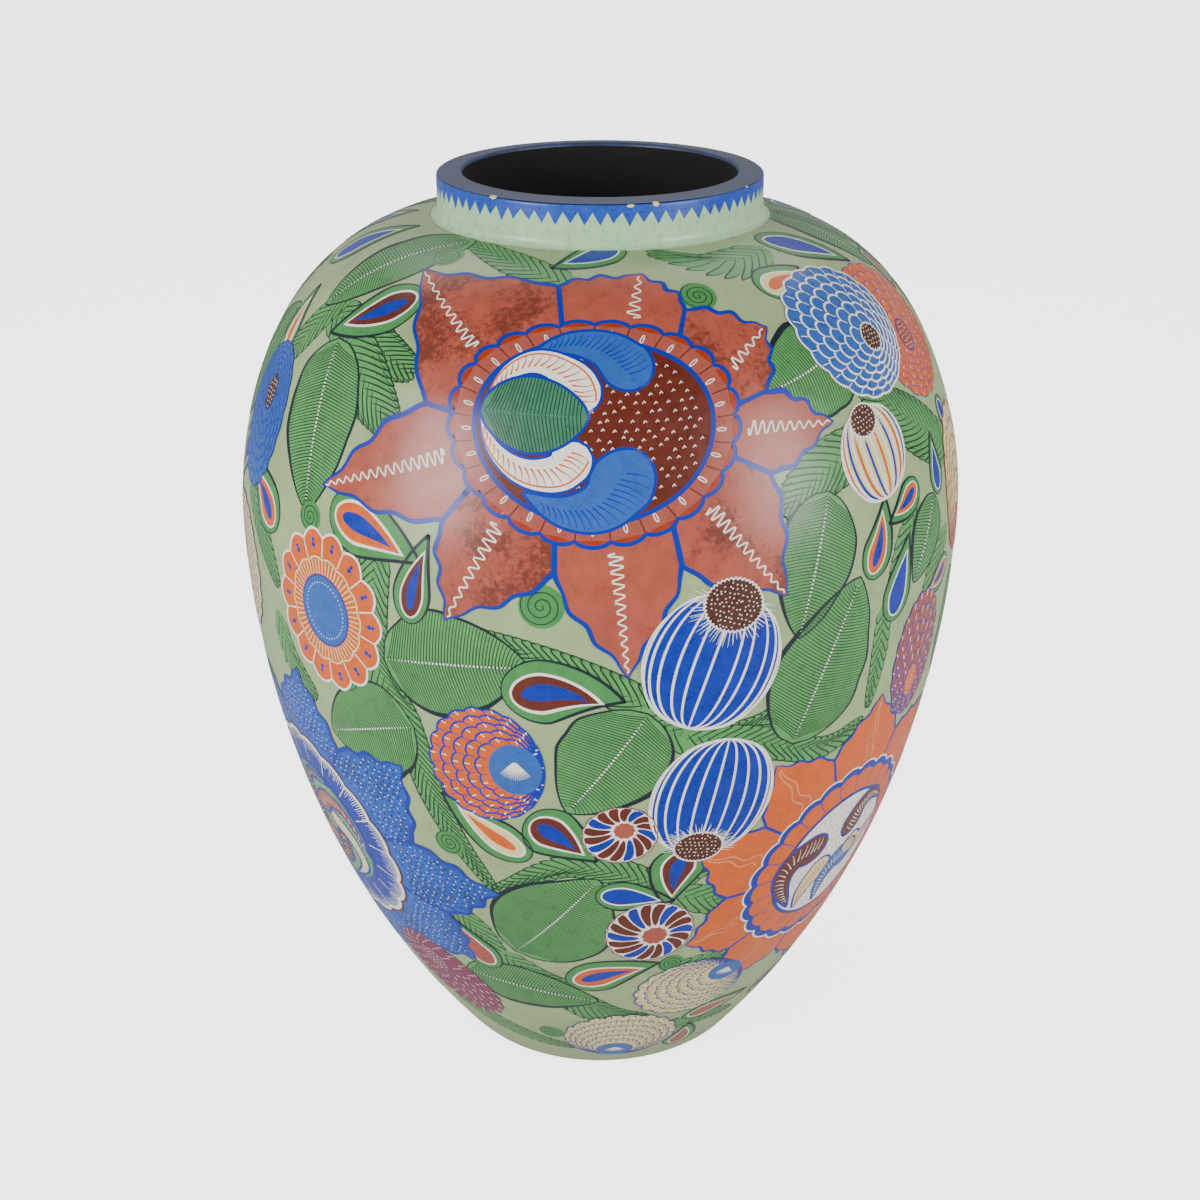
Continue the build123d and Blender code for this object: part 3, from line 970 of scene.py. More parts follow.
def blue_flower(box, canvas):
    """The blue flower: nine petals dashed dark and dotted white, round a ring brushed with white."""
    tips = [
        (9, 121), (50, 131), (90, 138), (128, 118), (168, 112), (-152, 110), (-112, 116), (-72, 120),
        (-32, 112)
    ]
    notches = [
        (-14, 84), (32, 88), (74, 93), (108, 97), (149, 84), (-172, 82), (-132, 84), (-92, 84), (-52, 82)
    ]
    ring_size = (68, 68)
    order = notches[1:] + notches[:1]
    petals(box, canvas, ring_size, tips, order, ("blue_petals",), "cobalt_lines", 2.8, bulge=5, waves=1.8)
    inside = lambda x, y: petal_test(x, y, tips, notches, 70)
    sprinkle(box, canvas, (-135, -125), (140, 125), inside, "white_lines", 5.2, 0.5, 7.6, seed=4)
    sprinkle(box, canvas, (-133, -123), (140, 125), inside, "ink_outlines", 4.6, 0.4, 7.2, seed=5, tick=1.6)
    edge = scallop_ring(
        box, canvas, ring_size, (46, 46), 17, "cobalt_fields", None, "brown_lines", "white_lines", 4, 2.0
    )
    box.put("white_lines", canvas, stroke(edge * 0.97, 2.6), 8.9)
    rng = np.random.default_rng(3)
    angle = np.linspace(0, TAU, 260)[:-1]
    spread = np.stack([np.full(259, 0.95), 0.95 - rng.uniform(0.06, 0.16, 259)], -1)
    rays = np.stack([np.sin(angle)[:, None] * spread, np.cos(angle)[:, None] * spread], -1) * ring_size
    box.put("white_lines", canvas, stroke(rays, [0.7, 0.25]), 8.9)
    field(box, canvas, (43, 43), "frond_fields", "cobalt_lines", 3.0)
    inside = lambda x, y: x**2 + y**2 < 38**2
    sprinkle(box, canvas, (-40, -40), (40, 40), inside, "white_lines", 3.0, 0.5, 9.3, seed=6)
    arms = [
        (0, "brown_fields"), (72, "pink_petals"), (144, "cream_fields"), (216, "brown_fields"),
        (288, "pink_petals")
    ]
    for turn, fill in arms:
        places = [polar(turn + 30, 42), polar(turn - 15, 38), polar(turn - 50, 26), polar(turn - 80, 14)]
        point = comma(box, canvas, places, 15, fill, "cobalt_lines", 2.0, 10)
        hatch(box, canvas, point, "white_lines", 12, 0.14, 0.9, 0.7, -0.4, -0.04, 0.9, 10.8)


def petal_test(x, y, tips, notches, inner):
    """Whether points lie on the petals: between the ring and a line from notch to tip to notch."""
    turn = np.degrees(np.arctan2(x, y))
    corners = sorted(list(tips) + list(notches))
    turns = np.array([c[0] for c in corners])
    reach = np.array([c[1] for c in corners], float)
    turns = np.concatenate([[turns[-1] - 360], turns, [turns[0] + 360]])
    reach = np.concatenate([[reach[-1]], reach, [reach[0]]])
    radius = np.hypot(x, y)
    return (radius > inner + 3) & (radius < np.interp(turn, turns, reach) * 0.97 - 1)


# ---------------------------------------------------------------------------------------------------
# Where each motif lies: angle round the vase in degrees, height in mm, turn clockwise in degrees, sizes in mm
# ---------------------------------------------------------------------------------------------------

LEAVES = [
    # angle, height, turn, length, width, bend, heavy side
    (-50, 448, 172, 96, 58, 0.15, 1),
    (-56, 522, -150, 92, 46, -0.2, 1),
    (37, 484, -106, 64, 54, 0.2, 1),
    (32, 387, -164, 80, 52, -0.1, 1),
    (35, 328, 23, 100, 66, 0.15, -1),
    (-21, 338, 84, 86, 62, 0.1, 1),
    (-37, 283, -110, 70, 62, -0.1, -1),
    (1, 284, -146, 78, 62, 0.1, -1),
    (-8, 168, 36, 90, 70, -0.1, -1),
    (-16, 95, 100, 84, 46, 0.15, 1),
    (57, 377, -150, 52, 36, 0.1, 1),
    (83, 526, -171, 70, 40, 0.2, 1),
]

BLUE_CORE = ("green_drops", "white_fields", "cobalt_fields", None)
CREAM_CORE = ("green_drops", "white_fields", "cream_fields", "orange_fields")
PINK_CORE = ("green_drops", "white_fields", "blush_fields", None)
BROWN_CORE = ("green_drops", "white_fields", "brown_fields", "cobalt_fields")
ORANGE_CORE = ("green_drops", "white_fields", "orange_fields", "cobalt_fields")

DROPS = [
    # angle, height, turn, length, width, bend, fills
    (-48, 504, -129, 62, 34, 0.3, BROWN_CORE),
    (-71, 487, -19, 46, 20, 0.3, CREAM_CORE),
    (-62, 396, -50, 50, 32, -0.6, ORANGE_CORE),
    (-34, 401, 104, 66, 36, 0.4, ORANGE_CORE),
    (-26, 384, 12, 52, 22, 0.4, BROWN_CORE),
    (-5, 323, 88, 66, 38, 0.9, BROWN_CORE),
    (-18, 236, -52, 62, 28, 0.3, CREAM_CORE),
    (-6, 231, 127, 48, 36, 0.3, BROWN_CORE),
    (13, 200, -170, 48, 32, -0.5, BROWN_CORE),
    (6, 186, 100, 46, 24, 0.3, BLUE_CORE),
    (3, 116, 67, 58, 32, 0.5, ORANGE_CORE),
    (-26, 133, -25, 50, 28, 0.3, PINK_CORE),
    (44, 519, 70, 40, 26, 0.6, CREAM_CORE),
    (51, 405, -117, 36, 20, 0.5, ORANGE_CORE),
    (44, 392, 22, 46, 24, -0.5, ORANGE_CORE),
    (50, 362, 16, 50, 26, 0.3, BLUE_CORE),
    (63, 414, -2, 36, 18, 0.4, BLUE_CORE),
    (63, 346, -110, 38, 20, 0.5, ORANGE_CORE),
    (64, 526, 135, 61, 30, 0.2, BLUE_CORE),
    (-79, 524, 22, 60, 30, 0.2, BLUE_CORE),
    (-4, 533, -128, 44, 26, 0.4, BLUE_CORE),
    (33, 59, 81, 48, 20, 0.2, PINK_CORE),
    (26, 30, 4, 34, 22, -0.4, PINK_CORE),
    (72, 429, 157, 32, 16, 0.2, BLUE_CORE),
]

CURLS = [
    # angle, height, radius
    (-47, 401, 9), (-8, 378, 12), (-40, 312, 8), (-25, 218, 9), (21, 519, 10), (
        14.5, 124, 8
    ), (-14, 44, 8), (-43, 529, 9),
]

FRONDS = [
    # places from base to tip as angle and height, then the width in mm
    (((19, 290), (13, 302), (2, 331), (-8, 349), (-19, 361)), 34),
    (((6, 316), (14, 296), (24, 298), (29, 318)), 34),
    (((12, 300), (24, 289), (35, 271), (44, 280)), 32),
    (((-33, 398), (-35, 336), (-30, 302), (-26, 241), (-18, 186)), 38),
    (((-60, 500), (-46, 492), (-33, 484)), 46),
    (((-54, 497), (-43, 478), (-34, 458)), 50),
    (((-58, 510), (-63, 486), (-68, 462)), 34),
    (((14, 187), (3, 209), (-6, 213), (-18, 188)), 32),
    (((11, 188), (15, 203), (21, 207)), 28),
    (((12, 187), (18, 180), (25, 170)), 40),
    (((-30, 172), (-24, 147), (-20, 118)), 34),
    (((46, 446), (36, 437), (28, 422)), 48),
    (((50, 530), (34, 528), (18, 533)), 44),
    (((-6, 524), (-22, 530), (-46, 534)), 36),
    (((70, 412), (58, 440), (48, 465)), 56),
    (((-20, 130), (-14, 113), (-6, 104)), 30),
    (((-12, 106), (-2, 78), (10, 66)), 44),
    (((-44, 60), (-27, 36), (-10, 26)), 34),
    (((-69, 402), (-63, 381), (-57, 352)), 36),
    (((-58, 330), (-56, 310), (-50, 290)), 34),
    (((55, 402), (50, 380), (47, 352)), 26),
    (((46, 350), (46, 323), (45, 290)), 22),
    (((-6, 546), (12, 546), (30, 545)), 26),
    (((66, 372), (60, 350), (58, 330)), 30),
    (((16, 120), (26, 122), (38, 116)), 20),
    (((12, 40), (24, 50), (40, 44)), 30),
]


# The gaps between front and back, about 90 degrees to the right and to the left of the front

SIDE_LEAVES = [
    (77, 298, -24, 88, 58, 0.15, 1),
    (104, 292, 28, 86, 56, -0.15, -1),
    (66, 96, 68, 82, 50, 0.2, 1),
    (112, 90, -72, 84, 48, -0.2, -1),
    (84, 44, 100, 60, 34, 0.1, 1),
    (-99.5, 464, -14, 86, 48, -0.2, 1),
    (-80, 458, 18, 84, 48, 0.2, -1),
    (-104, 262, -58, 76, 48, 0.15, 1),
    (-76, 258, 62, 74, 46, -0.15, -1),
    (-113, 56, 82, 70, 38, 0.2, 1),
    (-70, 50, -84, 70, 38, -0.2, -1),
]

SIDE_DROPS = [
    (90, 372, 4, 48, 28, 0.3, BROWN_CORE),
    (-90, 390, 183, 46, 26, 0.3, BLUE_CORE),
    (84.5, 505, -150, 34, 18, 0.3, PINK_CORE),
    (95.5, 503, 152, 34, 18, -0.3, BLUE_CORE),
    (79, 222, -158, 50, 28, 0.4, ORANGE_CORE),
    (100, 228, 160, 48, 26, -0.4, BLUE_CORE),
    (90, 158, 184, 44, 26, 0.3, CREAM_CORE),
    (56, 58, 64, 44, 22, 0.3, BROWN_CORE),
    (108, 36, -82, 46, 22, -0.3, ORANGE_CORE),
    (129, 60, -66, 44, 22, 0.3, BLUE_CORE),
    (-89, 345, 6, 58, 34, 0.4, ORANGE_CORE),
    (-104, 402, 152, 46, 24, 0.4, CREAM_CORE),
    (-75, 404, -148, 46, 24, -0.4, BROWN_CORE),
    (-99, 300, -34, 44, 22, 0.3, BLUE_CORE),
    (-81, 298, 30, 44, 22, -0.3, BROWN_CORE),
    (-90, 30, 88, 46, 20, 0.3, BLUE_CORE),
]

SIDE_CURLS = [
    (69, 250, 8), (113, 246, 8), (90, 196, 9), (72, 134, 7), (107, 132, 8), (90, 510, 7), (-90, 286, 8), (
        -100, 366, 7
    ), (-80, 366, 7),
    (-118, 92, 7), (-62, 90, 7), (-90, 505, 7),
]

SIDE_FRONDS = [
    (((90, 386), (93, 432), (89, 492)), 66),
    (((90, 280), (88, 250), (92, 214), (90, 176)), 56),
    (((84, 262), (76, 246), (70, 226)), 34),
    (((97, 262), (105, 244), (110, 222)), 34),
    (((84, 128), (74, 118), (64, 122)), 30),
    (((96, 128), (106, 116), (118, 120)), 30),
    (((92, 66), (104, 62), (118, 58)), 28),
    (((72, 62), (62, 46), (52, 34)), 26),
    (((-90, 402), (-93, 446), (-88, 498)), 44),
    (((-90, 376), (-92, 340), (-88, 296)), 54),
    (((-90, 372), (-98, 384), (-104, 380)), 26),
    (((-90, 372), (-82, 384), (-76, 380)), 26),
    (((90, 386), (82, 344), (78, 336)), 26),
    (((90, 386), (98, 344), (103, 336)), 26),
    (((-96, 246), (-104, 228), (-112, 216)), 30),
    (((-84, 246), (-77, 228), (-68, 220)), 30),
    (((-98, 84), (-108, 82), (-120, 74)), 28),
    (((-82, 84), (-72, 80), (-60, 74)), 28),
]


def on_paper(places):
    """A smooth path in mm through places given as angle and height, measured from the first of them."""
    vase = Outline(sizes())
    along = vase.along_at(np.array([height for _, height in places]) * MM)
    angle = np.radians([angle for angle, _ in places])
    radius = vase.section(along)[0]
    return through(np.stack([(angle - angle[0]) * radius, along - along[0]], -1) / MM)


def sides():
    """Each side is a function that lays a canvas at an angle, a height and a turn.
    """

    def side(spin, mirror):
        way = -1 if mirror else 1
        return lambda angle, height, turn=0.0: Canvas(spin + way * angle, height, turn, mirror)

    return [side(0, False), side(180, True)]


def paint_fronds(box, canvas, fronds=FRONDS):
    for number, (places, width) in enumerate(fronds):
        frond(box, canvas(*places[0]), on_paper(places), width, 0.5 + 0.55 * (number % 4))


def paint_leaves(box, canvas, leaves=LEAVES):
    for angle, height, turn, length, width, bend, side in leaves:
        leaf(box, canvas(angle, height, turn), length, width, bend, side)


def paint_pink_flower(box, canvas):
    pink_flower(box, canvas(-1, 466))


def paint_orange_flower(box, canvas):
    orange_flower(box, canvas(47, 180))


def paint_blue_flower(box, canvas):
    blue_flower(box, canvas(-59, 184))


def paint_drops(box, canvas, drops=DROPS, curls=CURLS):
    for angle, height, turn, length, width, bend, fills in drops:
        drop(box, canvas(angle, height, turn), length, width, bend, fills)
    for angle, height, radius in curls:
        curl(box, canvas(angle, height), radius)


def paint_buds(box, canvas):
    striped_bud(box, canvas(15.9, 343, 18), 77, 80, (0.84, 17, 15))
    striped_bud(box, canvas(17.3, 256, 189), 72, 80, (0.86, 15, 11))
    striped_bud(
        box, canvas(46, 436, -12), 54, 52, (0.74, 11, 9), "cream_fields", 9,
        ("orange_lines", "cobalt_lines")
    )
    candy_bud(box, canvas(3.1, 236), 42, 41, (0.15, 0.25))
    candy_bud(box, canvas(9.2, 156), 52, 55, (0.15, -0.15), 18)


def paint_side_buds(box, canvas):
    striped_bud(box, canvas(90, 318, 8), 68, 72, (0.84, 16, 13))
    striped_bud(
        box, canvas(-90, 236, 184), 60, 54, (0.74, 11, 9), "cream_fields", 9,
        ("orange_lines", "cobalt_lines")
    )
    candy_bud(box, canvas(90, 66), 46, 44, (0.1, 0.2))
    candy_bud(box, canvas(-90, 68), 48, 46, (-0.1, 0.15), 18)


def paint_dahlias(box, canvas):
    cream = ("cream_fields", "cobalt_lines", "brown_lines")
    scale_bud(box, canvas(-17, 279), 66, 74, (0.85, -0.02), 5, heart_size=0.44, density=0.58, weight=1.15)
    scale_bud(box, canvas(21, 93, 20), 74, 62, (0.6, 0.8), 7, *cream, density=0.9, weight=0.7)
    scale_bud(box, canvas(6, 43), 72, 66, (-0.1, -0.95), 6, *cream, density=0.9, weight=0.7)
    scale_bud(
        box, canvas(58, 305), 56, 80, (-0.1, -0.6), 5, "blush_fields", "cobalt_lines", "white_lines",
        "orange_fields", 0.28, False, 0.66, 0.8,
    )
    scale_bud(
        box, canvas(68, 486), 84, 88, (0.0, -0.2), 6, "orange_fields", "cobalt_lines", "cream_lines",
        "rust_fields", 0.22, False, 0.6, 0.5,
    )
    scale_bud(
        box, canvas(51.5, 496), 84, 84, (0.35, -0.3), 6, "sky_fields", "white_lines", None,
        "seed_fields", 0.2, False, 0.7, 1.15, 9.9,
    )
    scale_bud(
        box, canvas(-68, 437), 60, 86, (0.1, 0.4), 6, "sky_fields", "cobalt_lines", None,
        "seed_fields", 0.25, False, 0.8,
    )
    scale_bud(
        box, canvas(-39, 84, -30), 60, 84, (0.1, 0.5), 6, "mulberry_fields", "purple_lines", "white_lines",
        "mulberry_fields", 0.34, False, 0.8, 0.8,
    )
    scale_bud(
        box, canvas(75, 392), 62, 90, (-0.2, -0.7), 6, "cream_fields", "pink_lines", None,
        "rust_fields", 0.22, False, 0.8, 1.3,
    )
    scale_bud(
        box, canvas(-74, 342), 70, 84, (-0.3, 0.2), 6, "cream_fields", "cobalt_lines", "orange_lines",
        "rust_fields", 0.25, False, 0.8, 0.8,
    )
    daisy(box, canvas(-43.7, 350), 86, 94)


def paint_side_dahlias(box, canvas):
    scale_bud(
        box, canvas(90, 112), 66, 56, (0.1, 0.6), 6, "sky_fields", "white_lines", None,
        "seed_fields", 0.24, False, 0.8, 1.0,
    )
    daisy(box, canvas(-90, 438), 50, 54)


# ---------------------------------------------------------------------------------------------------
# Materials
# ---------------------------------------------------------------------------------------------------


def add_node(tree, kind, settings=(), links=()):
    """Adds a node with its settings and its links.

    Settings and link ends name an input by its name or number, or a property with a leading dot.
    """
    node = tree.nodes.new(kind)
    for key, value in dict(settings).items():
        if isinstance(key, str) and key.startswith("."):
            setattr(node, key[1:], value)
        else:
            node.inputs[key].default_value = value
    for key, source in dict(links).items():
        tree.links.new(source, node.inputs[key])
    return node


def new_material(name):
    """A material with an empty tree and its output node."""
    material = bpy.data.materials.new(name)
    material.use_nodes = True
    material.node_tree.nodes.clear()
    output = add_node(material.node_tree, "ShaderNodeOutputMaterial")
    return material, material.node_tree, output


def rgba(colour, gain=1.0):
    return tuple(min(1.0, channel * gain) for channel in colour) + (1.0,)


def size_scale(millimetres):
    """Noise scale, on coordinates in metres, whose blobs are about that many millimetres across."""
    return 1000.0 / millimetres


def noise(tree, place, blob, detail, roughness=0.5):
    """Cloudy noise, its blobs about that many millimetres across."""
    settings = {"Scale": size_scale(blob), "Detail": detail, "Roughness": roughness}
    return add_node(tree, "ShaderNodeTexNoise", settings, {"Vector": place}).outputs[0]


def remap(tree, value, low, high, to_low=0.0, to_high=1.0):
    """A value moved in a straight line from the range low to high to the range to_low to to_high."""
    settings = {"From Min": low, "From Max": high, "To Min": to_low, "To Max": to_high}
    return add_node(tree, "ShaderNodeMapRange", settings, {"Value": value}).outputs[0]


def product(tree, first, second):
    """Two values multiplied."""
    return add_node(tree, "ShaderNodeMath", {".operation": "MULTIPLY"}, {0: first, 1: second}).outputs[0]


def tinted(tree, share, colour, low, high):
    """The colour at a gain between low and high, by share."""
    settings = {".data_type": "RGBA", 6: rgba(colour, low), 7: rgba(colour, high)}
    return add_node(tree, "ShaderNodeMix", settings, {0: share}).outputs[2]


def cover(tree, output, settings, links=()):
    """The surface itself, joined to the material's output."""
    surface = add_node(tree, "ShaderNodeBsdfPrincipled", settings, links)
    tree.links.new(surface.outputs[0], output.inputs["Surface"])


def burnished_slip(name, colour, depth=0.16, blob=9.0, dark_marks=0.0, mark_size=3.0):
    """Coloured clay slip rubbed with a stone and varnished.

    To the eye: an even, slightly cloudy colour where the brush laid it thicker or thinner, under a soft
    satin gloss that is a little uneven. Dark marks are dabs of a sponge or a dry brush.
    """
    material, tree, output = new_material(name)
    place = add_node(tree, "ShaderNodeTexCoord").outputs["Object"]
    cloud = noise(tree, place, blob, 5.0, 0.62)
    brush = noise(tree, place, 1.4, 3.0)
    settings = {".operation": "MULTIPLY_ADD", 1: 0.35}
    blend = add_node(tree, "ShaderNodeMath", settings, {0: brush, 2: cloud}).outputs[0]
    shade = tinted(tree, remap(tree, blend, 0.42, 0.92), colour, 1 - depth, 1 + depth)
    if dark_marks:
        marks = product(tree, noise(tree, place, mark_size, 4.0, 0.7), noise(tree, place, 26.0, 2.0))
        strength = remap(tree, marks, 0.225, 0.33, 0.0, dark_marks)
        settings = {".data_type": "RGBA", 7: rgba(colour, 0.3)}
        shade = add_node(tree, "ShaderNodeMix", settings, {0: strength, 6: shade}).outputs[2]
    gloss = remap(tree, cloud, 0.3, 0.7, 0.24, 0.38)
    cover(tree, output, {"IOR": 1.5, "Specular IOR Level": 0.38}, {"Base Color": shade, "Roughness": gloss})
    return material


def line_slip(name, colour):
    """Thin lines of coloured slip under the varnish: too narrow for clouds, so one even satin colour."""
    material, tree, output = new_material(name)
    look = {"Base Color": rgba(colour), "Roughness": 0.32, "IOR": 1.5, "Specular IOR Level": 0.38}
    cover(tree, output, look)
    return material


def matt_slip(name, colour):
    """Black slip with no varnish: it gives back almost no light, with a faint dusty cloud."""
    material, tree, output = new_material(name)
    place = add_node(tree, "ShaderNodeTexCoord").outputs["Object"]
    shade = tinted(tree, noise(tree, place, 14.0, 4.0), colour, 0.7, 1.6)
    cover(tree, output, {"Roughness": 0.85, "IOR": 1.45}, {"Base Color": shade})
    return material


def fired_clay(name, colour):
    """Bare low-fired earthenware: matt, sandy, with darker grains about a millimetre across."""
    material, tree, output = new_material(name)
    place = add_node(tree, "ShaderNodeTexCoord").outputs["Object"]
    grain = noise(tree, place, 1.2, 2.0)
    both = product(tree, noise(tree, place, 20.0, 6.0), grain)
    shade = tinted(tree, remap(tree, both, 0.12, 0.4), colour, 0.65, 1.25)
    bump = add_node(tree, "ShaderNodeBump", {"Strength": 0.4, "Distance": 0.0003}, {"Height": grain})
    cover(tree, output, {"Roughness": 0.8, "IOR": 1.5}, {"Base Color": shade, "Normal": bump.outputs[0]})
    return material


# ---------------------------------------------------------------------------------------------------
# The pot itself
# ---------------------------------------------------------------------------------------------------


def turned_surface(name, path, material, node, around=360, outside=True):
    """A surface of revolution: each point of the path of radius and height, carried round the axis.

    The first and last columns meet, so they are joined into a closed seam.
    """
    angle = np.linspace(0, TAU, around + 1)
    radius, height = path[:, 0], path[:, 1]
    grid = np.stack(
        [
            radius[:, None] * np.sin(angle), -radius[:, None] * np.cos(angle),
            height[:, None] * np.ones(around + 1)
        ], -1
    )
    piece = build_mesh(name, [grid[None]], material)
    close_seam(piece, outside)
    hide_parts(node)
    return piece


def close_seam(piece, outside=True):
    """Merges the doubled points of a seam and turns the faces to the side that is seen."""
    work = bmesh.new()
    work.from_mesh(piece.data)
    bmesh.ops.remove_doubles(work, verts=work.verts, dist=1e-6)
    bmesh.ops.recalc_face_normals(work, faces=work.faces)
    total = sum(f.normal.dot(f.calc_center_median() * Vector((1, 1, 0))) * f.calc_area() for f in work.faces)
    if (total > 0) != outside:
        bmesh.ops.reverse_faces(work, faces=work.faces)
    work.to_mesh(piece.data)
    work.free()


def make_body():
    """The egg from the bare foot up to the collar's flare, its wall slightly uneven."""
    size = sizes()
    vase = Outline(size)
    low = vase.along_at(size.bare_foot)
    table = np.linspace(0, vase.lengths[-1], 4000)
    radius = vase.section(table)[0]
    upper = table > vase.lengths[2]
    high = np.interp(-(size.neck_radius + size.collar_flare * 0.9), -radius[upper], table[upper])
    along = np.linspace(low, high, 220)
    angle = np.linspace(0, TAU, 361)
    grid = vase.place(angle[None, :], along[:, None], 0.0)
    material = burnished_slip("sage_slip_satin_varnish", pigments().sage, 0.13, 22.0)
    piece = build_mesh("sage_ground", [grid[None]], material)
    close_seam(piece)
    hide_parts("body_slip")


def arc_path(centre, radius, start, end, points):
    """Points of an arc about a centre between two angles above the horizontal, in degrees."""
    angle = np.radians(np.linspace(start, end, points))
    return np.array(centre) + radius * np.stack([np.cos(angle), np.sin(angle)], -1)


class PathOutline:
    """An outline given as a path of radius and height, for the collar and the rim.

    Along is measured in metres from the path's start, and the normal is to the right of the path's direction.
    """

    def __init__(self, path):
        self.path = path
        steps = np.linalg.norm(np.diff(path, axis=0), axis=1)
        self.lengths = np.concatenate([[0], np.cumsum(steps)])
        self.normal = right_of(path)

    def section(self, along):
        return tuple(np.interp(along, self.lengths, self.path[:, i]) for i in (0, 1))

    def along_at(self, height):
        return np.interp(height, self.path[:, 1], self.lengths)

    def place(self, angle, along, lift):
        """XYZ: the path's point moved out along its normal and turned round the axis."""
        radius, height = self.section(along)
        reach = radius + lift * np.interp(along, self.lengths, self.normal[:, 0])
        height = height + lift * np.interp(along, self.lengths, self.normal[:, 1])
        return np.stack([reach * np.sin(angle), -reach * np.cos(angle), height * np.ones_like(angle)], -1)


RIM_FALL = 0.0012
OUTER_ROUND = 0.0016
INNER_ROUND = 0.0025
BAND_HEIGHT = 4.2 * MM
TOOTH_HEIGHT = 7.0
TEETH = 74


def collar_path():
    """The flare's arc from the shoulder to the collar's wall, then the wall up to the blue band."""
    size = sizes()
    vase = Outline(size)
    flare = size.collar_flare
    centre_r = size.neck_radius + flare
    reach = vase.arcs[2] + flare
    rise = math.sqrt(reach**2 - (centre_r - vase.centre_r[2]) ** 2)
    centre_z = vase.centre_z[2] + rise
    contact = math.degrees(math.atan2(-rise, vase.centre_r[2] - centre_r))
    arc = arc_path((centre_r, centre_z), flare, contact, -180, 14)
    edge = size.total_height - RIM_FALL
    wall = np.stack([np.full(12, size.neck_radius), np.linspace(centre_z, edge - BAND_HEIGHT, 13)[1:]], -1)
    return np.concatenate([arc, wall])


def rim_path():
    """The rim from the blue band over its rounded outer edge, its sloping top and its rounded inner edge."""
    size = sizes()
    neck, mouth = size.neck_radius, size.neck_radius - size.rim_thickness
    outer_top, inner_top = size.total_height - RIM_FALL, size.total_height
    outer = arc_path((neck - OUTER_ROUND, outer_top - OUTER_ROUND), OUTER_ROUND, 0, 86, 8)
    inner = arc_path((mouth + INNER_ROUND, inner_top - INNER_ROUND), INNER_ROUND, 94, 180, 9)
    start = np.array([[neck, outer_top - BAND_HEIGHT]])
    return np.concatenate([start, outer, inner])


def split_path(path, spacing):
    """The path with points added so that none are further apart than the spacing."""
    pieces = [path[:1]]
    for a, b in zip(path[:-1], path[1:]):
        count = max(1, math.ceil(np.linalg.norm(b - a) / spacing))
        pieces.append(a + (b - a) * np.linspace(0, 1, count + 1)[1:, None])
    return np.concatenate(pieces)


def make_collar():
    """The pale-green collar."""
    material = burnished_slip("pale_green_slip_satin_varnish", pigments().collar_green, 0.16, 5.0)
    turned_surface(
        "collar_ground", split_path(collar_path(), 0.002), material, "collar_slip", 288
    )


def paint_teeth(box):
    """The blue teeth painted down the collar from the rim."""
    outline = PathOutline(split_path(collar_path(), 0.002))
    rng = np.random.default_rng(21)
    top = (sizes().total_height - RIM_FALL - BAND_HEIGHT) / MM
    for number in range(TEETH):
        canvas = Canvas(360 * number / TEETH, top, 0, False, outline)
        half = sizes().neck_radius / MM * math.pi / TEETH * 1.04
        tip = np.array([rng.normal(0, 0.5), -TOOTH_HEIGHT * rng.uniform(0.82, 1.15)])
        left, right = np.array([-half, 0.0]), np.array([half, 0.0])
        share = np.linspace(0, 1, 6)[:, None]
        tooth = ring(left + (tip - left) * share, right + (tip - right) * share, 4).swapaxes(0, 1)
        box.put("rim_teeth", canvas, tooth, 1.5)


def rim_parts():
    """The rim's path, and the number of the point at which the bright band outside ends."""
    path = split_path(rim_path(), 0.0015)
    return path, int(np.argmax(path[:, 0] < sizes().neck_radius - OUTER_ROUND * 0.8)) + 1


def make_rim():
    """The rim: a bright blue band outside, and slate blue worn pale on top."""
    path, band_end = rim_parts()
    band = burnished_slip("rim_cobalt_slip_satin_varnish", pigments().band_blue, 0.2, 5.0)
    top = worn_slip("slate_blue_slip_worn", pigments().rim_blue, pigments().sky)
    turned_surface("rim_band", path[:band_end], band, "rim_slip", 288)
    turned_surface("rim_top", path[band_end - 1 :], top, "rim_slip", 288)


def paint_rim(box):
    """An ink line round the rim's outer edge and a few chips that show cream clay."""
    path, band_end = rim_parts()
    outline = PathOutline(path)
    edge = outline.lengths[band_end - 1] / MM

    def at(angle):
        canvas = Canvas(angle, 0, 0, False, outline)
        canvas.along = 0.0
        return canvas

    round_rim = np.stack([np.linspace(0, TAU, 361) * sizes().neck_radius / MM, np.full(361, edge - 0.9)], -1)
    box.put("rim_ink_line", at(0), stroke(round_rim, 0.9), 1.5)
    rng = np.random.default_rng(5)
    chips = (
        (-38, 5.2, 2.8, 0.8), (10, 3.8, 1.8, 1.9), (18.5, 3.6, 3.4, 1.3), (60, 2.0, 1.2, 1.0),
        (150, 4.0, 2.0, 1.0)
    )
    for angle, wide, high, below in chips:
        chip = disc(1.0, 9) * [wide / 2, high / 2] * (
            1 + rng.normal(0, 0.12, (9, 9, 1))
        ) + np.array([0, edge - below])
        box.put("rim_chips", at(angle), chip, 2.5)


def worn_slip(name, colour, under):
    """Dark slip on an edge that is handled: rubbed through to a paler blue in streaks and specks."""
    material, tree, output = new_material(name)
    place = add_node(tree, "ShaderNodeTexCoord").outputs["Object"]
    wear = noise(tree, place, 11.0, 8.0, 0.72)
    settings = {".data_type": "RGBA", 6: rgba(colour, 0.9), 7: rgba(under, 0.8)}
    rubbed = remap(tree, wear, 0.46, 0.72, 0.0, 0.62)
    shade = add_node(tree, "ShaderNodeMix", settings, {0: rubbed}).outputs[2]
    gloss = remap(tree, wear, 0.0, 1.0, 0.32, 0.62)
    cover(tree, output, {"IOR": 1.5}, {"Base Color": shade, "Roughness": gloss})
    return material


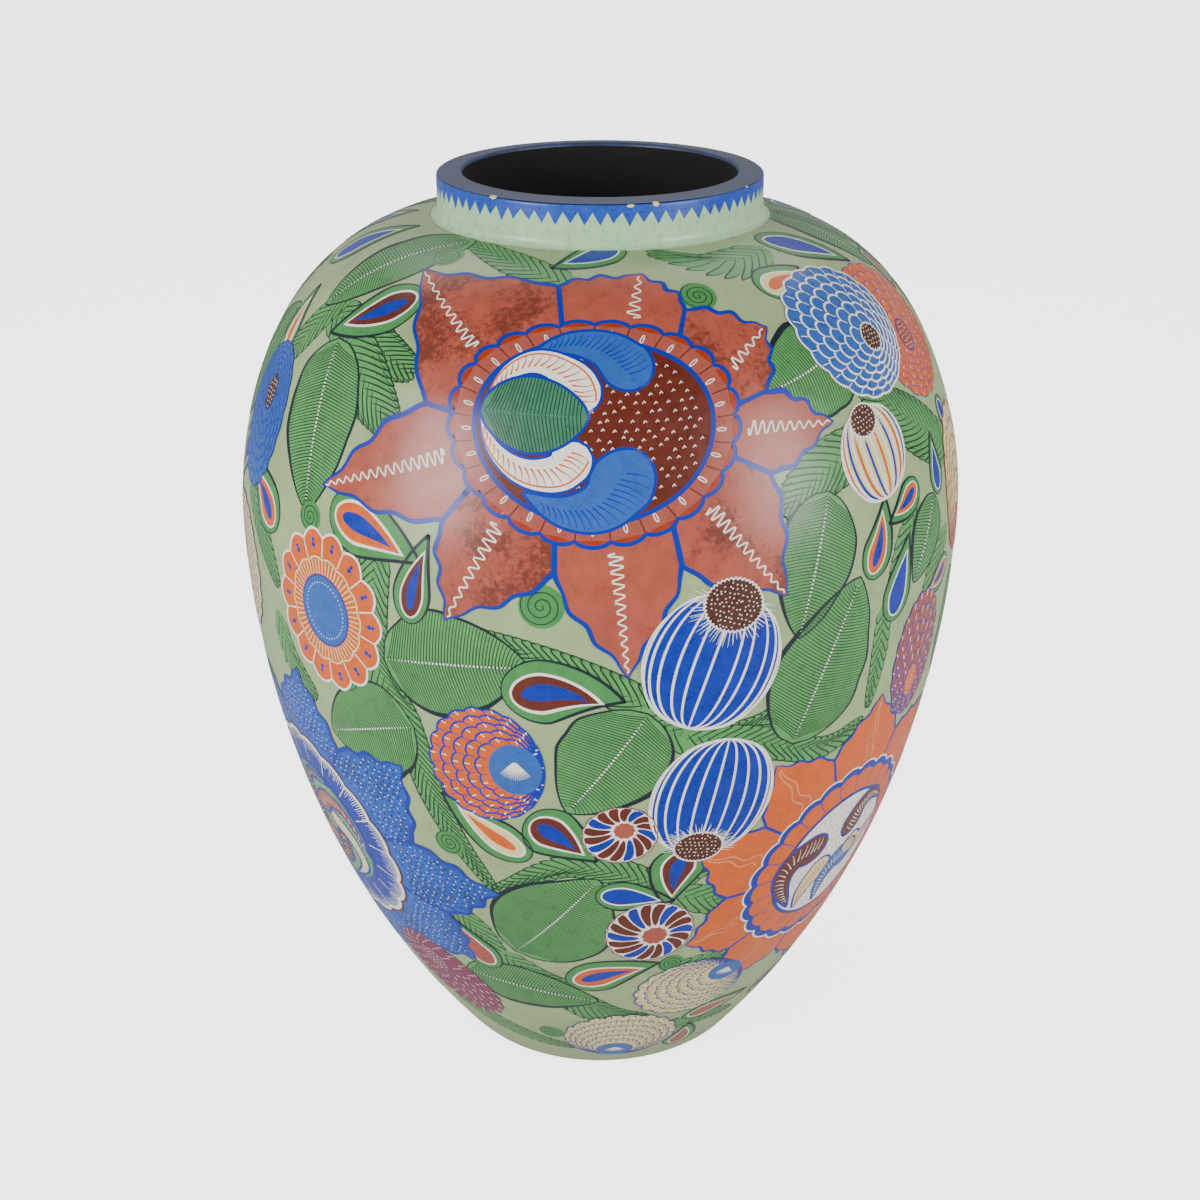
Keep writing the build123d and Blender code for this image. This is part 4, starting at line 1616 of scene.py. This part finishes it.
FIELDS = {
    # paint: pigment, how cloudy it is, size of the clouds in mm, strength and size in mm of dark sponge marks
    "leaves": ("leaf", 0.18, 9.0),
    "fronds": ("leaf", 0.18, 12.0),
    "green_drops": ("deep_green", 0.14, 8.0),
    "leaf_hearts": ("teal", 0.2, 6.0),
    "frond_fields": ("leaf", 0.18, 6.0),
    "white_fields": ("white", 0.06, 5.0),
    "brown_fields": ("brown", 0.2, 6.0),
    "seed_fields": ("seed_brown", 0.3, 4.0),
    "cobalt_fields": ("cobalt", 0.3, 7.0),
    "sky_fields": ("sky", 0.16, 7.0),
    "orange_fields": ("orange", 0.16, 6.0),
    "cream_fields": ("cream", 0.08, 6.0),
    "blush_fields": ("blush", 0.14, 6.0),
    "rust_fields": ("rust", 0.2, 5.0),
    "mulberry_fields": ("purple", 0.2, 6.0),
    "pink_petals": ("pink", 0.2, 11.0),
    "sponged_petals": ("pink", 0.2, 9.0, 0.8, 3.0),
    "orange_petals": ("orange", 0.12, 12.0),
    "blue_petals": ("petal_blue", 0.24, 10.0, 0.45, 3.0),
    "rim_teeth": ("band_blue", 0.2, 5.0),
    "rim_chips": ("cream", 0.15, 2.0),
}

LINES = {
    # paint: pigment
    "ink_outlines": "ink", "hair_lines": "vein", "frond_lines": "vein", "cobalt_lines": "cobalt",
    "white_lines": "white", "brown_lines": "brown", "orange_lines": "orange", "cream_lines": "cream",
    "purple_lines": "purple", "pink_lines": "pink", "pale_orange_lines": "apricot", "rim_ink_line": "ink",
}


def finish(paint):
    """The material of a paint, made when it is first asked for."""
    name = paint + "_slip_satin_varnish"
    if name in bpy.data.materials:
        return bpy.data.materials[name]
    if paint in LINES:
        return line_slip(name, getattr(pigments(), LINES[paint]))
    pigment_name, *look = FIELDS[paint]
    return burnished_slip(name, getattr(pigments(), pigment_name), *look)


# ---------------------------------------------------------------------------------------------------
# Stage
# ---------------------------------------------------------------------------------------------------


CAMERA_PLACE = (0, -1.100, 0.774)
CAMERA_AIM = (0, 0, 0.2867)
LENS = 56.8
FLOOR_HALF = 14.0
FLOOR_GLOW = 3.0
SURROUND_GLOW = 3.6


def soft_box(name, place, aim, wide, high, watts):
    light = bpy.data.lights.new(name, "AREA")
    light.shape = "RECTANGLE"
    light.size, light.size_y = wide, high
    light.energy = watts
    thing = bpy.data.objects.new(name, light)
    bpy.context.collection.objects.link(thing)
    thing.location = place
    thing.rotation_euler = (Vector(aim) - Vector(place)).to_track_quat("-Z", "Y").to_euler()
    return thing


def to_the_camera(tree, strength):
    """The strength on rays from the camera, and nothing on any other ray."""
    seen = add_node(tree, "ShaderNodeLightPath").outputs["Is Camera Ray"]
    return add_node(tree, "ShaderNodeMath", {".operation": "MULTIPLY", 1: strength}, {0: seen}).outputs[0]


def make_floor():
    """A white paper floor, which looks brighter to the camera than the light that it gives the vase."""
    corners = [(-FLOOR_HALF, -FLOOR_HALF, 0), (FLOOR_HALF, -FLOOR_HALF, 0)]
    corners += [(FLOOR_HALF, FLOOR_HALF, 0), (-FLOOR_HALF, FLOOR_HALF, 0)]
    mesh = bpy.data.meshes.new("floor")
    mesh.from_pydata(corners, [], [(0, 1, 2, 3)])
    floor = bpy.data.objects.new("floor", mesh)
    bpy.context.collection.objects.link(floor)
    material, tree, output = new_material("matt_white_board")
    look = {"Base Color": (0.6, 0.6, 0.6, 1), "Roughness": 0.9, "Emission Color": (1, 1, 1, 1)}
    cover(tree, output, look, {"Emission Strength": to_the_camera(tree, FLOOR_GLOW)})
    mesh.materials.append(material)


def make_surround():
    """A surround that is white to the camera and lights the vase more from the side than from above."""
    world = bpy.data.worlds.new("studio")
    world.use_nodes = True
    tree = world.node_tree
    ray = add_node(tree, "ShaderNodeTexCoord").outputs["Generated"]
    height = add_node(tree, "ShaderNodeSeparateXYZ", {}, {0: ray}).outputs["Z"]
    dim = remap(tree, height, 0.15, 0.9, 0.55, 0.14)
    shine = to_the_camera(tree, SURROUND_GLOW)
    strength = add_node(tree, "ShaderNodeMath", {".operation": "MAXIMUM"}, {0: dim, 1: shine})
    background = tree.nodes["Background"]
    background.inputs[0].default_value = (1, 1, 1, 1)
    tree.links.new(strength.outputs[0], background.inputs[1])
    bpy.context.scene.world = world


def make_stage():
    """The floor, the surround, soft boxes left and right, and the camera above the shoulder."""
    make_floor()
    make_surround()
    middle = (0, 0, 0.3)
    soft_box("soft_box_left", (-1.5, -1.3, 0.95), middle, 0.8, 1.1, 48)
    soft_box("soft_box_right", (1.6, -1.1, 0.85), middle, 0.8, 1.1, 36)
    soft_box("soft_box_over", (0, 1.5, 2.0), (0, 1.3, 0), 2.6, 1.2, 22)

    camera = bpy.data.objects.new("camera", bpy.data.cameras.new("camera"))
    bpy.context.collection.objects.link(camera)
    camera.data.sensor_width = 36.0
    camera.data.lens = LENS
    camera.location = CAMERA_PLACE
    camera.rotation_euler = (Vector(CAMERA_AIM) - camera.location).to_track_quat("-Z", "Y").to_euler()
    bpy.context.scene.camera = camera


def make_clay():
    """The fired clay pieces and the black inside keep their own shapes and get their materials."""
    clay = fired_clay("fired_earthenware", pigments().clay)
    for node in ("base_slab", "lower_bowl", "upper_dome", "neck_collar", "rim_coil"):
        dress(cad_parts[node], clay)
    coil_clay = fired_clay("smeared_coil_earthenware", tuple(0.85 * c for c in pigments().clay))
    for node in ("base_seam_coil", "belly_seam_coil", "neck_seam_coil"):
        dress(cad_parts[node], coil_clay)
    dress(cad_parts["inside_slip"], matt_slip("matt_black_slip", pigments().soot))


def dress(piece, material):
    """Puts a material in every slot of a piece."""
    for slot in piece.material_slots:
        slot.material = material
    if not piece.material_slots:
        piece.data.materials.append(material)


# ---------------------------------------------------------------------------------------------------
# Operators, panel and the whole run
# ---------------------------------------------------------------------------------------------------


def paint_group(name, painters):
    """Paints a group of motifs and makes one object for each paint that they use."""
    box = Paintbox()
    for painter in painters:
        painter(box)
    for paint in sorted(box.grids):
        box.make(f"{name}_{paint}", paint)
    if not box.grids:
        raise RuntimeError(f"nothing was painted for {name}")


def on_each_side(painter):
    """The painter's work on every side of the vase, as a function of the paint box."""
    return lambda box: [painter(box, canvas) for canvas in sides()]


def in_the_gaps(painter, *lists):
    """The painter's work in the gaps between front and back, as a function of the paint box."""
    return lambda box: painter(box, sides()[0], *lists)


class VASE_OT_stage(Operator):
    """Sets up the floor, the lights and the camera"""

    bl_idname = "vase.stage"
    bl_label = "Stage"

    def execute(self, context):
        make_stage()
        return {"FINISHED"}


class VASE_OT_clay(Operator):
    """Gives the clay pieces and the black inside their materials"""

    bl_idname = "vase.clay"
    bl_label = "Clay and inside"

    def execute(self, context):
        make_clay()
        return {"FINISHED"}


class VASE_OT_ground(Operator):
    """Lays the sage ground of the body, the pale-green collar and the blue rim"""

    bl_idname = "vase.ground"
    bl_label = "Ground coats"

    def execute(self, context):
        make_body()
        make_collar()
        make_rim()
        return {"FINISHED"}


class VASE_OT_rim_paint(Operator):
    """Paints the blue teeth, the ink line and the chips of the rim"""

    bl_idname = "vase.rim_paint"
    bl_label = "Rim teeth"

    def execute(self, context):
        paint_group("rim", [paint_teeth, paint_rim])
        return {"FINISHED"}


class VASE_OT_fronds(Operator):
    """Paints the feathery fronds that fill the gaps"""

    bl_idname = "vase.fronds"
    bl_label = "Fronds"

    def execute(self, context):
        paint_group("fronds", [on_each_side(paint_fronds), in_the_gaps(paint_fronds, SIDE_FRONDS)])
        return {"FINISHED"}


class VASE_OT_leaves(Operator):
    """Paints the combed leaves"""

    bl_idname = "vase.leaves"
    bl_label = "Leaves"

    def execute(self, context):
        paint_group("leaves", [on_each_side(paint_leaves), in_the_gaps(paint_leaves, SIDE_LEAVES)])
        return {"FINISHED"}


class VASE_OT_drops(Operator):
    """Paints the drops and the spiral curls"""

    bl_idname = "vase.drops"
    bl_label = "Drops and curls"

    def execute(self, context):
        paint_group("drops", [on_each_side(paint_drops), in_the_gaps(paint_drops, SIDE_DROPS, SIDE_CURLS)])
        return {"FINISHED"}


class VASE_OT_pink_flower(Operator):
    """Paints the terracotta flower of the shoulder"""

    bl_idname = "vase.pink_flower"
    bl_label = "Terracotta flower"

    def execute(self, context):
        paint_group("pink_flower", [on_each_side(paint_pink_flower)])
        return {"FINISHED"}


class VASE_OT_orange_flower(Operator):
    """Paints the orange flower low on the right"""

    bl_idname = "vase.orange_flower"
    bl_label = "Orange flower"

    def execute(self, context):
        paint_group("orange_flower", [on_each_side(paint_orange_flower)])
        return {"FINISHED"}


class VASE_OT_blue_flower(Operator):
    """Paints the blue flower low on the left"""

    bl_idname = "vase.blue_flower"
    bl_label = "Blue flower"

    def execute(self, context):
        paint_group("blue_flower", [on_each_side(paint_blue_flower)])
        return {"FINISHED"}


class VASE_OT_buds(Operator):
    """Paints the striped buds and the small round sweets"""

    bl_idname = "vase.buds"
    bl_label = "Striped buds"

    def execute(self, context):
        paint_group("buds", [on_each_side(paint_buds), in_the_gaps(paint_side_buds)])
        return {"FINISHED"}


class VASE_OT_dahlias(Operator):
    """Paints the scaled dahlias and the daisies"""

    bl_idname = "vase.dahlias"
    bl_label = "Dahlias and daisies"

    def execute(self, context):
        paint_group("dahlias", [on_each_side(paint_dahlias), in_the_gaps(paint_side_dahlias)])
        return {"FINISHED"}


STEPS = (
    VASE_OT_stage, VASE_OT_clay, VASE_OT_ground, VASE_OT_rim_paint, VASE_OT_fronds, VASE_OT_leaves,
    VASE_OT_drops, VASE_OT_pink_flower, VASE_OT_orange_flower, VASE_OT_blue_flower, VASE_OT_buds,
    VASE_OT_dahlias,
)


class VASE_PT_panel(Panel):
    """The vase's sizes, its pigments and its steps"""

    bl_idname = "VASE_PT_panel"
    bl_label = "Painted vase"
    bl_space_type = "VIEW_3D"
    bl_region_type = "UI"
    bl_category = "Vase"

    def draw(self, context):
        for group in (sizes(), pigments()):
            column = self.layout.column(align=True)
            for name in group.__annotations__:
                column.prop(group, name)
        for step in STEPS:
            self.layout.operator(step.bl_idname)


CLASSES = (VaseSizes, VasePigments, *STEPS, VASE_PT_panel)


def register():
    for kind in CLASSES:
        bpy.utils.register_class(kind)
    bpy.types.Scene.vase_sizes = PointerProperty(type=VaseSizes)
    bpy.types.Scene.vase_pigments = PointerProperty(type=VasePigments)


def unregister():
    del bpy.types.Scene.vase_pigments
    del bpy.types.Scene.vase_sizes
    for kind in reversed(CLASSES):
        bpy.utils.unregister_class(kind)


def main():
    """Registers the add-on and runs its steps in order."""
    register()
    for step in STEPS:
        getattr(bpy.ops.vase, step.bl_idname.split(".")[1])()


if __name__ == "__main__":
    main()
